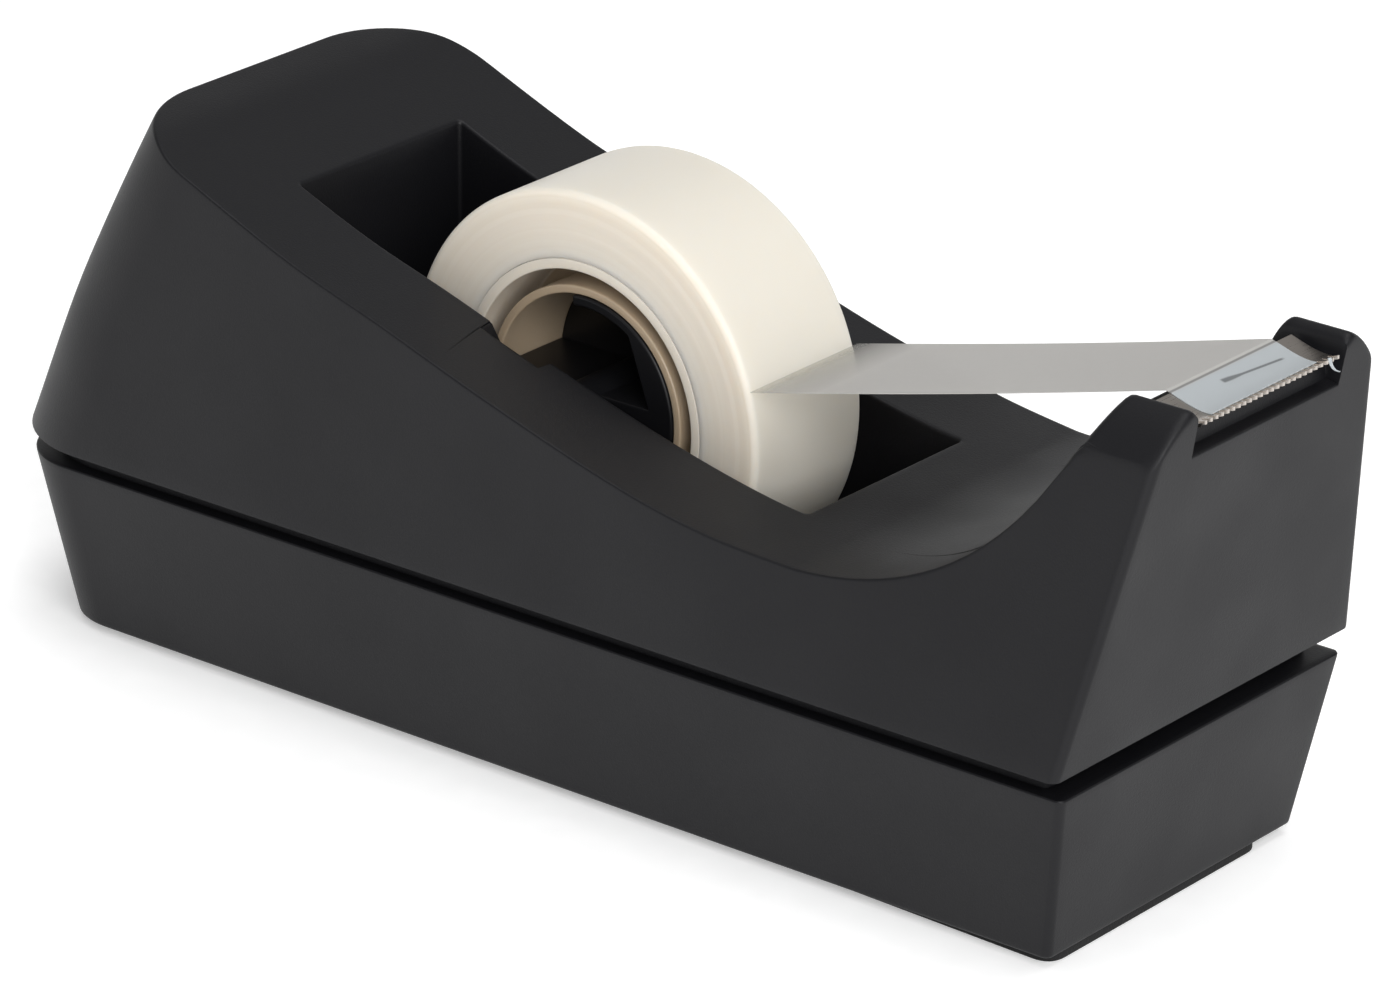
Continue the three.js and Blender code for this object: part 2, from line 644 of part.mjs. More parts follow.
function baseTray() {
  let body = solid(loft([trayOutline(TRAY_BOTTOM, 0), trayOutline(RIM_Z, 0)]));
  const neckTop = FOOT_Z + NECK_RISE;
  body = body.add(solid(loft([neckOutline(RIM_Z - 1, 0), neckOutline(neckTop, 0)])));
  const floor = FLOOR_TOP_Z;
  const under = RIM_Z - FLANGE;
  const hollow = loft([trayOutline(floor, TRAY_WALL), trayOutline(under, TRAY_WALL)]);
  body = body.subtract(solid(hollow));
  const mouth = loft([neckOutline(under - 1, NECK_WALL), neckOutline(neckTop + 1, NECK_WALL)]);
  body = body.subtract(solid(mouth));
  const head = headTopZ();
  for (const x of BOSS_XS) {
    for (const y of BOSS_YS) {
      body = body.add(solid(post(x, y, BOSS_R, floor - 1, BOSS_JOINT_Z - LAYER_GAP)));
    }
  }
  const boreR = HEAD_DIAMETER / 2 + SCREW_CLEARANCE;
  const shankR = SCREW_DIAMETER / 2 + SCREW_CLEARANCE;
  for (const x of BOSS_XS) {
    for (const y of BOSS_YS) {
      body = body.subtract(solid(post(x, y, boreR, TRAY_BOTTOM - 1, head, 20)));
      body = body.subtract(solid(post(x, y, shankR, head - 1, FOOT_Z + 2, 12)));
    }
  }
  return geometryOf(body);
}

// A pan-head self-tapping screw, head down, with its cross recess.
function screw(x, y) {
  const head = headTopZ() - LAYER_GAP;
  const r = SCREW_DIAMETER / 2;
  const h = HEAD_DIAMETER / 2;
  const low = head - HEAD_HEIGHT;
  const top = head + SCREW_LENGTH;
  const profile = [[0, low], [h * 0.6, low], [h, low + 0.7], [h, head]];
  profile.push([r, head], [r, top - 2], [r * 0.25, top], [0, top]);
  const shape = new THREE.LatheGeometry(profile.map(([a, b]) => new THREE.Vector2(a, b)), 20);
  shape.rotateX(Math.PI / 2).translate(x, y, 0);
  const arm = h * 0.55;
  const slot = 0.35;
  const cross = solid(block(x - arm, x + arm, y - slot, y + slot, low - 1, low + 1.1));
  const other = solid(block(x - slot, x + slot, y - arm, y + arm, low - 1, low + 1.1));
  return geometryOf(solid(shape).subtract(cross).subtract(other));
}

// The steel plates lie between the bosses and the foam keeps them down under the well.
function ballastBox() {
  const rear = BOSS_XS[0] + BOSS_R + PLATE_END_GAP;
  const front = BOSS_XS[1] - BOSS_R - PLATE_END_GAP;
  const half = HOUSING_WIDTH / 2 - RIM_INSET - TRAY_DRAFT_SIDE - TRAY_WALL - PLATE_SIDE_GAP;
  return [rear, front, half];
}

function ballastPlate(index) {
  const [rear, front, half] = ballastBox();
  const low = FLOOR_TOP_Z + LAYER_GAP + index * (PLATE_THICKNESS + LAYER_GAP);
  return block(rear, front, -half, half, low, low + PLATE_THICKNESS);
}

function ballastFoam() {
  const [rear, front, half] = ballastBox();
  return block(rear + 2, front - 2, -half + 2, half - 2, PLATES_TOP_Z, FOAM_TOP_Z);
}

// The pad's corners under the tray, with its long edges running slightly off the tray's.
function padOutline(shrink) {
  const half = HOUSING_WIDTH / 2 - RIM_INSET - TRAY_DRAFT_SIDE;
  const front = FRONT_X - TRAY_DRAFT - PAD_INSET_FRONT - shrink;
  const rear = REAR_X + RIM_INSET_REAR + TRAY_DRAFT_REAR + PAD_INSET_REAR + shrink;
  const near = -half + PAD_INSET_NEAR + shrink;
  const far = half - PAD_INSET_FAR - shrink;
  const corners = [
    [rear, near + PAD_SKEW],
    [front, near],
    [front, far],
    [rear, far + PAD_SKEW * 0.6],
  ];
  const points = [];
  corners.forEach((corner, i) => {
    const here = new THREE.Vector2(...corner);
    const back = new THREE.Vector2(...corners[(i + 3) % 4]).sub(here).normalize();
    const ahead = new THREE.Vector2(...corners[(i + 1) % 4]).sub(here).normalize();
    const a = here.clone().addScaledVector(back, PAD_RADIUS);
    const b = here.clone().addScaledVector(ahead, PAD_RADIUS);
    const bend = new THREE.QuadraticBezierCurve(a, here, b);
    bend.getPoints(4).forEach((p) => points.push([p.x, p.y]));
  });
  return points;
}

place("upper_housing", upperHousing(), BLACK_ABS);
place("base_tray", baseTray(), BLACK_ABS);
place("cutter_blade", cutterBlade(), NICKEL);
place("spool_hub", spoolHub(), BLACK_ABS);
place("tape_core", tapeCore(), CORE_PLASTIC);
place("tape_roll", tapeRoll(), TAPE);
place("tape_strand", tapeStrand(), TAPE);
for (let i = 0; i < PLATE_COUNT; i += 1) {
  place(`ballast_plate_${i + 1}`, ballastPlate(i), STEEL);
}
place("ballast_foam", ballastFoam(), FOAM);
const corners = ["rear_near", "rear_far", "front_near", "front_far"];
corners.forEach((corner, i) => {
  place(`screw_${corner}`, screw(BOSS_XS[Math.floor(i / 2)], BOSS_YS[i % 2]), ZINC);
});
place("non_skid_pad", upward(padOutline(0), 0, PAD_THICKNESS), RUBBER);
const film = PAD_THICKNESS + LAYER_GAP;
place("pad_adhesive", upward(padOutline(0.5), film, film + ADHESIVE_THICKNESS), ADHESIVE);

export default dispenser;
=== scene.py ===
"""A weighted desktop tape dispenser with its roll of matte tape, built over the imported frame.

All sizes below are millimetres in the row frame: +X points at the cutter, Y runs across, +Z is up.
"up" is a height above the lower edge of the upper housing.
"""
import math
import bmesh
import bpy
import numpy as np
from mathutils import Matrix, Vector


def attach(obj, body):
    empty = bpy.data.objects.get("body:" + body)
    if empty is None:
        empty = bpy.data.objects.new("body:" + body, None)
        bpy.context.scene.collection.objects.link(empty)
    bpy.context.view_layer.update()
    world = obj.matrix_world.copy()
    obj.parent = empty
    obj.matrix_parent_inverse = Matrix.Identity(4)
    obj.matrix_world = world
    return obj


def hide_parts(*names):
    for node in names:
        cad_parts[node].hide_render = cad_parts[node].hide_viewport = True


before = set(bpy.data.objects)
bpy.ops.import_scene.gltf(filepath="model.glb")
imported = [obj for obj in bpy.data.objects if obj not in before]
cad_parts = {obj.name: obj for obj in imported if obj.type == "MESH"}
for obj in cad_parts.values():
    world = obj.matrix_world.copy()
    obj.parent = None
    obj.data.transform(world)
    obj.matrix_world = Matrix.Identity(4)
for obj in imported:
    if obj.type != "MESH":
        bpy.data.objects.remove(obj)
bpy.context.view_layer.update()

# ---------------------------------------------------------------- sizes
FOOT = 24.2
REAR = -81.6
FRONT = 74.6
HALF_WIDTH = 27.25
REAR_LEAN = 0.42
REAR_BOW = 0.00165
FRONT_LEAN = 7 / 38.1
SIDE_DRAFT = 0.033
TOWER_DRAFT = 0.172
TOWER_DRAFT_FROM = 16.6
TOWER_DRAFT_TO = 59.6
REAR_RADIUS = 15.8
REAR_TIGHTENS = 1.6
REAR_TIGHT_UP = 22
FRONT_RADIUS = 1.2
CREST = 42.0
VALLEY = 14.2
VALLEY_X = 38.5
RAMP_X = 72.7
RAMP_TOP = 38.6
RAMP_SLOPE = 2.32
EAR_TOP = 40.05
EAR_INNER = 13.4
EAR_ROUND = 1.3
EAR_BLEND = 2.2
EAR_STEP = 0.08

# The cutter's seat and the recess ahead of it, as a line of (x, up), and the level just behind them.
SEAT_X = 75.1
SEAT_LINE = [(SEAT_X, 37.25), (SEAT_X + 0.05, 38.27), (79.0, 37.05), (79.3, 34.7), (80.9, 34.4), (90, 34.2)]
BEHIND_SEAT = 37.25

WELL_FRONT = 31.0
WELL_REAR = -42.3
WELL_MIDDLE = (WELL_FRONT + WELL_REAR) / 2
WELL_END_FROM = 30
WELL_HALF = 13.8
WELL_CORNER = 0.5
WELL_FLOOR = -9.2
WELL_WALL = 1.8
WELL_LIP = 0.45
SLOT_DEPTH = 2.0
SLOT_HALF = 2.95
SLOT_LEAN = math.radians(33)

SPOOL = (-4.5, 0.0, 41.2)
SPOOL_UP = 17.0
RIM_ABOVE_SPOOL = 7.4
ROLL_RADIUS = 24.9
CORE_RADIUS = 16.9
BORE = 12.7
TAPE_HALF = 9.5

BLADE_REAR = (75.2, 38.9)
BLADE_DIP = (79.54, 37.5)
BLADE_TIP = (81.4, 38.1)
BLADE_HALF = 12.5
BLADE_THICK = 0.42
TEETH_FROM = 79.9
TOOTH_PITCH = 1.0
TOOTH_DEPTH = 1.15

TRAY_LOW = 1.2
TRAY_RIM = 21.8
TRAY_SIDE_IN = 1.45
TRAY_REAR_IN = 2.2
TRAY_SIDE_DRAFT = 3.2
TRAY_REAR_DRAFT = 4.3
TRAY_FRONT_DRAFT = 3.5
TRAY_CORNER = 8.8
TRAY_WALL = 2.2
NECK_IN = 3.3
NECK_TOP = 1.4


# ---------------------------------------------------------------- shape helpers
def smooth(x, a, b):
    """An S curve that is 0 at a and 1 at b."""
    t = np.clip((x - a) / (b - a), 0.0, 1.0)
    return t * t * (3 - 2 * t)


def softer_min(a, b, k):
    """The smaller of a and b, rounded over where they come within k of each other."""
    h = np.clip(0.5 + 0.5 * (b - a) / k, 0.0, 1.0)
    return b * (1 - h) + a * h - k * h * (1 - h)


def catmull(points, count):
    """A uniform Catmull-Rom curve through the points, its end points doubled."""
    p = np.asarray(points, float)
    t = np.linspace(0, len(p) - 1, count)
    i = np.minimum(t.astype(int), len(p) - 2)
    f = (t - i)[:, None]
    q = [p[np.clip(i + k, 0, len(p) - 1)] for k in (-1, 0, 1, 2)]
    v0 = (q[2] - q[0]) / 2
    v1 = (q[3] - q[1]) / 2
    hold = (2 * q[1] - 2 * q[2] + v0 + v1) * f ** 3
    return hold + (-3 * q[1] + 3 * q[2] - 2 * v0 - v1) * f ** 2 + v0 * f + q[1]


def bezier(points, t):
    """A quadratic or cubic Bezier curve, by repeated straight blends; t may be an array."""
    rows = [np.asarray(p, float) for p in points]
    while len(rows) > 1:
        rows = [a * (1 - t) + b * t for a, b in zip(rows[:-1], rows[1:])]
    return rows[0]


def rear_x(up):
    """The rear wall leans forward, a little more towards the crest."""
    return REAR + REAR_LEAN * up + REAR_BOW * up * up


def front_x(up):
    return FRONT + FRONT_LEAN * up


def rear_radius(up):
    """The rear corners tighten a little above the foot."""
    return REAR_RADIUS - REAR_TIGHTENS * smooth(up, 0, REAR_TIGHT_UP)


def half_width(x, up):
    """Half the housing's width: the side draft grows towards the cutter tower."""
    return HALF_WIDTH - (SIDE_DRAFT + TOWER_DRAFT * smooth(x, TOWER_DRAFT_FROM, TOWER_DRAFT_TO)) * up


def deck_line():
    """Rear crest to valley through nine share points, then a Bezier ramp up the tower."""
    crest_x = rear_x(CREST)
    shares = [(0, 1), (0.06, 0.955), (0.12, 0.865), (0.28, 0.638), (0.42, 0.486)]
    shares += [(0.57, 0.316), (0.74, 0.145), (0.88, 0.042), (1, 0)]
    run = VALLEY_X - crest_x
    knots = [(crest_x + s * run, VALLEY + h * (CREST - VALLEY)) for s, h in shares]
    reach = RAMP_X - VALLEY_X
    climb = RAMP_TOP - VALLEY
    ramp = [(VALLEY_X, VALLEY), (VALLEY_X + 0.5 * reach, VALLEY)]
    ramp += [(VALLEY_X + 0.82 * reach, VALLEY + 0.4 * climb), (RAMP_X, RAMP_TOP)]
    t = np.linspace(0, 1, 200)[1:, None]
    return np.vstack([catmull(knots, 400), bezier(ramp, t)])


DECK = deck_line()


def crown(side):
    """An ear's fall below its highest line: a quarter round inwards, and a parabola outwards."""
    inward = np.clip(EAR_INNER + EAR_ROUND - side, 0, EAR_ROUND)
    outward = np.clip(side - EAR_INNER - EAR_ROUND, 0, 6)
    return EAR_ROUND - np.sqrt(EAR_ROUND ** 2 - inward ** 2) + 0.38 * outward + 0.1 * outward ** 2


def top_height(x, y):
    """Height of the housing's upper surface.

    It is the deck line, which at the cutter tower rises into two crowned ears, with the cutter's
    seat and recess between them.
    """
    low = np.interp(x, DECK[:, 0], DECK[:, 1])
    rising = np.where(x > RAMP_X, RAMP_TOP + RAMP_SLOPE * (x - RAMP_X), low)
    ahead = x > VALLEY_X
    side = np.abs(y)
    ear = np.where(ahead, softer_min(rising, EAR_TOP - crown(side), EAR_BLEND), low)
    middle = np.where(ahead, softer_min(rising, BEHIND_SEAT, 0.4), low)
    middle = np.where(x > SEAT_X, np.interp(x, *zip(*SEAT_LINE)), middle)
    return middle + (ear - middle) * smooth(side, EAR_INNER - EAR_STEP, EAR_INNER + EAR_STEP)


# Columns of the housing and tray run round half the plan, from the front middle to the rear middle:
# across the front as far as the ear, across the ear, round the front corner, along the side, round
# the rear corner and across the rear. They stand close together where an edge or a slot needs it.
slot_steps = np.array([0.9, 1.8, 2.6, 3.2, 3.4, 3.47, 3.55, 3.65, 3.9, 4.6, 5.6, 7.2, 9.4])
slot_rim_x = SPOOL[0] - math.tan(SLOT_LEAN) * RIM_ABOVE_SPOOL
side_x = np.concatenate([
    [76.3, 75.6, 74.9, 74.4, 73.9, 73.4, 72.9, 72.4, 71.8, 71.2, 70.3],
    np.arange(69.0, 32.0, -1.5),
    np.arange(31.0, 2.0, -1.6),
    slot_rim_x + slot_steps[::-1],
    [slot_rim_x],
    slot_rim_x - slot_steps,
    np.arange(-20.6, -57.0, -1.6),
])
MIDDLE_COLUMNS = 15
SIDE_START = 77.5
SIDE_LENGTH = 134.65
COL_FLAT = np.concatenate([
    np.linspace(0, 13.0, MIDDLE_COLUMNS),
    [13.2, 13.31, 13.36, 13.4, 13.44, 13.49, 13.6, 13.8, 14.1, 14.4, 14.7],
])
COL_EAR = np.linspace(0, 1, 7)[1:]
COL_FRONT_ARC = np.radians(np.linspace(0, 90, 9)[1:])
COL_SIDE = (SIDE_START - side_x) / SIDE_LENGTH
COL_REAR_ARC = np.radians(np.linspace(90, 180, 22)[:-1])
COL_REAR = np.linspace(0, 1, 12)
PARTS = [COL_FLAT, COL_EAR, COL_FRONT_ARC, COL_SIDE, COL_REAR_ARC, COL_REAR]
EDGES = np.cumsum([0] + [len(p) for p in PARTS])
COLS = EDGES[-1]


def plan(rear, front, width, rear_r, front_r):
    """One (x, y) per column on a rounded outline.

    rear, front and rear_r may differ from column to column. width gives the half width at x, for
    the columns that it is told.
    """
    rear, front, rear_r = (np.broadcast_to(np.asarray(v, float), (COLS,)) for v in (rear, front, rear_r))
    x = np.array(front)
    half = width(front - front_r, slice(None))
    y = np.zeros(COLS)
    a, b, c, d, e, f, g = EDGES
    y[a:b] = COL_FLAT
    y[b:c] = COL_FLAT[-1] + (half[b:c] - front_r - COL_FLAT[-1]) * COL_EAR
    x[c:d] = front[c:d] - front_r + front_r * np.cos(COL_FRONT_ARC)
    y[c:d] = half[c:d] - front_r + front_r * np.sin(COL_FRONT_ARC)
    ends = front[d:e] - front_r, rear[d:e] + rear_r[d:e]
    x[d:e] = ends[0] + (ends[1] - ends[0]) * COL_SIDE
    y[d:e] = width(x[d:e], slice(d, e))
    back = width(rear + rear_r, slice(None)) - rear_r
    x[e:f] = rear[e:f] + rear_r[e:f] * (1 + np.cos(COL_REAR_ARC))
    y[e:f] = back[e:f] + rear_r[e:f] * np.sin(COL_REAR_ARC)
    x[f:g] = rear[f:g]
    y[f:g] = back[f:g] * (1 - COL_REAR)
    return x, y


def housing_plan(up, inset=0.0):
    """The drafted housing wall at height up (one value or one per column), moved in by inset."""
    ups = np.broadcast_to(np.asarray(up, float), (COLS,))
    front_r = max(FRONT_RADIUS - inset, 0.4)
    return plan(
        rear_x(ups) + inset,
        front_x(ups) - inset,
        lambda x, cols: half_width(x, ups[cols]) - inset,
        rear_radius(ups) - inset,
        front_r,
    )


def well_plan(up, inset=0.0):
    """The well's wall at height up, moved out by inset.

    The side's columns lean with the axle slots where they pass them, and step out into each slot,
    whose lower end is round.
    """
    ups = np.broadcast_to(np.asarray(up, float), (COLS,))
    x = np.full(COLS, WELL_FRONT)
    y = np.zeros(COLS)
    r = WELL_CORNER
    nominal = np.full(COLS, np.inf)
    nominal[EDGES[3]:EDGES[4]] = side_x
    nominal[EDGES[4]:] = -np.inf
    straight = (nominal < WELL_FRONT - r) & (nominal > WELL_REAR + r)
    begin = np.argmax(straight)
    end = begin + straight.sum()
    y[:MIDDLE_COLUMNS] = COL_FLAT[:MIDDLE_COLUMNS]
    turn = np.linspace(0, math.pi / 2, begin - MIDDLE_COLUMNS)
    x[MIDDLE_COLUMNS:begin] = WELL_FRONT - r + r * np.cos(turn)
    y[MIDDLE_COLUMNS:begin] = WELL_HALF - r + r * np.sin(turn)
    x[begin:end] = nominal[begin:end]
    y[begin:end] = WELL_HALF
    turn = np.linspace(math.pi / 2, math.pi, EDGES[5] - end + 1)
    x[end:EDGES[5] + 1] = WELL_REAR + r + r * np.cos(turn)
    y[end:EDGES[5] + 1] = WELL_HALF - r + r * np.sin(turn)
    x[EDGES[5]:] = WELL_REAR
    y[EDGES[5]:] = (WELL_HALF - r) * (1 - COL_REAR)
    near_slot = 1 - smooth(np.abs(x - slot_rim_x), 7.5, 13.0)
    on_side = straight.astype(float)
    x = x - np.tan(SLOT_LEAN) * (ups - SPOOL_UP - RIM_ABOVE_SPOOL) * near_slot * on_side
    across = (x - SPOOL[0]) * math.cos(SLOT_LEAN) + (ups - SPOOL_UP) * math.sin(SLOT_LEAN)
    along = (ups - SPOOL_UP) * math.cos(SLOT_LEAN) - (x - SPOOL[0]) * math.sin(SLOT_LEAN)
    away = np.where(along > 0, np.abs(across), np.hypot(across, along))
    push = (1 - smooth(away, SLOT_HALF - 0.04, SLOT_HALF + 0.04)) * SLOT_DEPTH * on_side
    y = y + push
    if inset:
        from_middle = x - WELL_MIDDLE
        on_end_wall = np.abs(from_middle) > WELL_END_FROM
        x = x + np.sign(from_middle) * inset * on_end_wall
        y = y * (WELL_HALF + inset) / WELL_HALF
    return x, y


def stack(x, y, z):
    return np.stack([x, y, np.broadcast_to(np.asarray(z, float), x.shape)], axis=-1)


def full_round(rows):
    """Half-plan rows (rows, columns, 3) mirrored across Y into closed rings."""
    half = np.asarray(rows)
    other = half[:, -2:0:-1] * np.array([1.0, -1.0, 1.0])
    return np.concatenate([half, other], axis=1)


# ---------------------------------------------------------------- mesh helpers
def finish_mesh(mesh, sharp):
    """Welds seams and poles, faces the skin outwards and shades it smooth up to the sharp angle."""
    work = bmesh.new()
    work.from_mesh(mesh)
    bmesh.ops.remove_doubles(work, verts=work.verts, dist=2e-6)
    bmesh.ops.dissolve_degenerate(work, edges=work.edges, dist=1e-7)
    bmesh.ops.recalc_face_normals(work, faces=work.faces)
    work.to_mesh(mesh)
    work.free()
    mesh.polygons.foreach_set("use_smooth", np.ones(len(mesh.polygons), bool))
    mesh.set_sharp_from_angle(angle=math.radians(sharp))
    mesh.update()


def add_object(name, verts, faces, material, sharp=35):
    mesh = bpy.data.meshes.new(name)
    mesh.from_pydata((np.asarray(verts) * 0.001).tolist(), [], faces)
    finish_mesh(mesh, sharp)
    mesh.materials.append(material)
    obj = bpy.data.objects.new(name, mesh)
    bpy.context.scene.collection.objects.link(obj)
    return obj


def skin(name, grid, material, wrap_rows=False, wrap_cols=True, sharp=35):
    """A surface over a grid of points (rows, columns, 3) in millimetres."""
    grid = np.asarray(grid, float)
    rows, cols = grid.shape[:2]
    i, j = np.meshgrid(np.arange(rows - (not wrap_rows)), np.arange(cols - (not wrap_cols)), indexing="ij")
    i2 = (i + 1) % rows
    j2 = (j + 1) % cols
    faces = np.stack([i * cols + j, i2 * cols + j, i2 * cols + j2, i * cols + j2], axis=-1)
    return add_object(name, grid.reshape(-1, 3), faces.reshape(-1, 4).tolist(), material, sharp)


def turned(name, profile, material, segments=192, closed=True):
    """A profile of (radius, y) points turned about the spool's axis."""
    p = np.asarray(profile, float)
    a = np.linspace(0, 2 * math.pi, segments, endpoint=False)[None, :]
    x = SPOOL[0] + p[:, :1] * np.cos(a)
    z = SPOOL[2] + p[:, :1] * np.sin(a)
    y = np.broadcast_to(p[:, 1:], x.shape)
    return skin(name, np.stack([x, y, z], axis=-1), material, wrap_rows=closed)


def rounded(points, radius, steps):
    """A closed polyline with its corners rounded by quadratic curves that start radius before each."""
    p = np.asarray(points, float)
    radii = np.broadcast_to(np.asarray(radius, float), (len(p),))
    back = np.roll(p, 1, axis=0) - p
    ahead = np.roll(p, -1, axis=0) - p
    far_back = np.linalg.norm(back, axis=1, keepdims=True)
    far_ahead = np.linalg.norm(ahead, axis=1, keepdims=True)
    reach = np.minimum(radii[:, None], np.minimum(far_back, far_ahead) * 0.49)
    a = (p + back / far_back * reach)[:, None]
    b = (p + ahead / far_ahead * reach)[:, None]
    t = np.linspace(0, 1, steps + 1)[None, :, None]
    out = a * (1 - t) ** 2 + 2 * p[:, None] * t * (1 - t) + b * t ** 2
    return out.reshape(-1, p.shape[1])


# ---------------------------------------------------------------- material helpers
def paint(code):
    """An sRGB hex colour as linear RGBA."""
    c = np.array([int(code[i:i + 2], 16) / 255 for i in (1, 3, 5)])
    c = np.where(c <= 0.04045, c / 12.92, ((c + 0.055) / 1.055) ** 2.4)
    return (*c.tolist(), 1.0)


def add(tree, kind, values=(), out=0, **settings):
    """Adds a node with its settings and links, and gives back one of its outputs.

    values holds its inputs, in their order or by name, each a constant or the socket that feeds it.
    """
    made = tree.nodes.new(kind)
    for key, value in settings.items():
        setattr(made, key, value)
    for key, value in values.items() if isinstance(values, dict) else enumerate(values):
        if isinstance(value, bpy.types.NodeSocket):
            tree.links.new(value, made.inputs[key])
        else:
            made.inputs[key].default_value = value
    return made.outputs[out]


def new_material(name):
    """An empty material, its node tree and the input that its shader goes into."""
    material = bpy.data.materials.new(name)
    material.use_nodes = True
    tree = material.node_tree
    tree.nodes.clear()
    surface = tree.nodes.new("ShaderNodeOutputMaterial").inputs["Surface"]
    return material, tree, surface


def radius_from_axis(tree):
    """Distance from the spool's axis in metres, from object coordinates."""
    where = add(tree, "ShaderNodeTexCoord", out="Object")
    centre = (SPOOL[0] * 0.001, 0.0, SPOOL[2] * 0.001)
    moved = add(tree, "ShaderNodeVectorMath", (where, centre), operation="SUBTRACT")
    flat = add(tree, "ShaderNodeVectorMath", (moved, (1.0, 0.0, 1.0)), operation="MULTIPLY")
    return add(tree, "ShaderNodeVectorMath", (flat,), "Value", operation="LENGTH")


# ---------------------------------------------------------------- materials
# Object coordinates are metres, so a pattern's scale is how many of its features a metre holds.
def moulded(name, colour, roughness, texture_scale, texture_depth):
    """Injection-moulded ABS.

    A fine spark-eroded texture breaks the shine. Slow changes of gloss, about 18 mm across, come
    from how the plastic filled the mould.
    """
    material, tree, surface = new_material(name)
    where = add(tree, "ShaderNodeTexCoord", out="Object")
    texture = {"Vector": where, "Scale": texture_scale, "Detail": 3.0, "Roughness": 0.6}
    fine = add(tree, "ShaderNodeTexNoise", texture)
    flow = {"Vector": where, "Scale": 55.0, "Detail": 2.0, "Roughness": 0.5}
    slow = add(tree, "ShaderNodeTexNoise", flow)
    gloss = (slow, 0.35, 0.65, roughness - 0.035, roughness + 0.035)
    height = {"Height": fine, "Strength": 0.35, "Distance": texture_depth}
    values = {
        "Base Color": paint(colour),
        "Roughness": add(tree, "ShaderNodeMapRange", gloss),
        "IOR": 1.53,
        "Specular IOR Level": 0.23,
        "Normal": add(tree, "ShaderNodeBump", height),
    }
    tree.links.new(add(tree, "ShaderNodeBsdfPrincipled", values), surface)
    return material


def core_plastic():
    """White polystyrene, moulded: soft gloss and a little light carried through.

    The outer ring, from a radius of about 15.6 mm, has the pale tone of the roll round it. The inner
    parts, in the bore and the web's recess, are painted a darker brown: painted shade. The gloss changes
    every 4 mm or so.
    """
    material, tree, surface = new_material("white polystyrene, moulded")
    where = add(tree, "ShaderNodeTexCoord", out="Object")
    flow = {"Vector": where, "Scale": 240.0, "Detail": 2.0, "Roughness": 0.5}
    slow = add(tree, "ShaderNodeTexNoise", flow)
    # Painted shade: inside a radius of about 15.4 mm the core is drawn a darker brown, for the shadow in its
    # bore and recess.
    outside_painted_shade = add(tree, "ShaderNodeMapRange", (radius_from_axis(tree), 0.0154, 0.0158, 0.0, 1.0))
    tones = {0: outside_painted_shade, 6: paint("#a8967f"), 7: paint("#ded5c7")}
    values = {
        "Base Color": add(tree, "ShaderNodeMix", tones, 2, data_type="RGBA"),
        "Roughness": add(tree, "ShaderNodeMapRange", (slow, 0.3, 0.7, 0.3, 0.42)),
        "IOR": 1.59,
        "Subsurface Weight": 0.35,
        "Subsurface Radius": (1.0, 0.85, 0.65),
        "Subsurface Scale": 0.0015,
    }
    tree.links.new(add(tree, "ShaderNodeBsdfPrincipled", values), surface)
    return material


def wound_tape():
    """Matte acetate tape wound on itself: milky and a little translucent.

    The sides, where the edges of the turns and their adhesive show, have very faint rings. A turn
    is 0.06 mm thick; the rings are drawn about ten times as wide so that they show.
    """
    material, tree, surface = new_material("matte acetate tape, wound")
    radius = radius_from_axis(tree)
    turns = {"W": radius, "Scale": 1500.0, "Detail": 3.0}
    rings = add(tree, "ShaderNodeTexNoise", turns, noise_dimensions="1D")
    tone = add(tree, "ShaderNodeMapRange", (rings, 0.3, 0.7, 0.0, 1.0))
    where = add(tree, "ShaderNodeTexCoord", out="Object")
    across = add(tree, "ShaderNodeSeparateXYZ", (where,), "Y")
    from_middle = add(tree, "ShaderNodeMath", (across,), operation="ABSOLUTE")
    on_side = add(tree, "ShaderNodeMapRange", (from_middle, 0.0089, 0.0095, 0.0, 1.0))
    sides = {0: tone, 6: paint("#e0d8cb"), 7: paint("#ddd4c6")}
    side = add(tree, "ShaderNodeMix", sides, 2, data_type="RGBA")
    tones = {0: on_side, 6: paint("#dad5ca"), 7: side}
    height = {"Height": tone, "Strength": 0.04, "Distance": 0.00003}
    values = {
        "Base Color": add(tree, "ShaderNodeMix", tones, 2, data_type="RGBA"),
        "Roughness": 0.45,
        "IOR": 1.47,
        "Subsurface Weight": 0.7,
        "Subsurface Radius": (1.0, 0.9, 0.76),
        "Subsurface Scale": 0.004,
        "Normal": add(tree, "ShaderNodeBump", height),
    }
    tree.links.new(add(tree, "ShaderNodeBsdfPrincipled", values), surface)
    return material


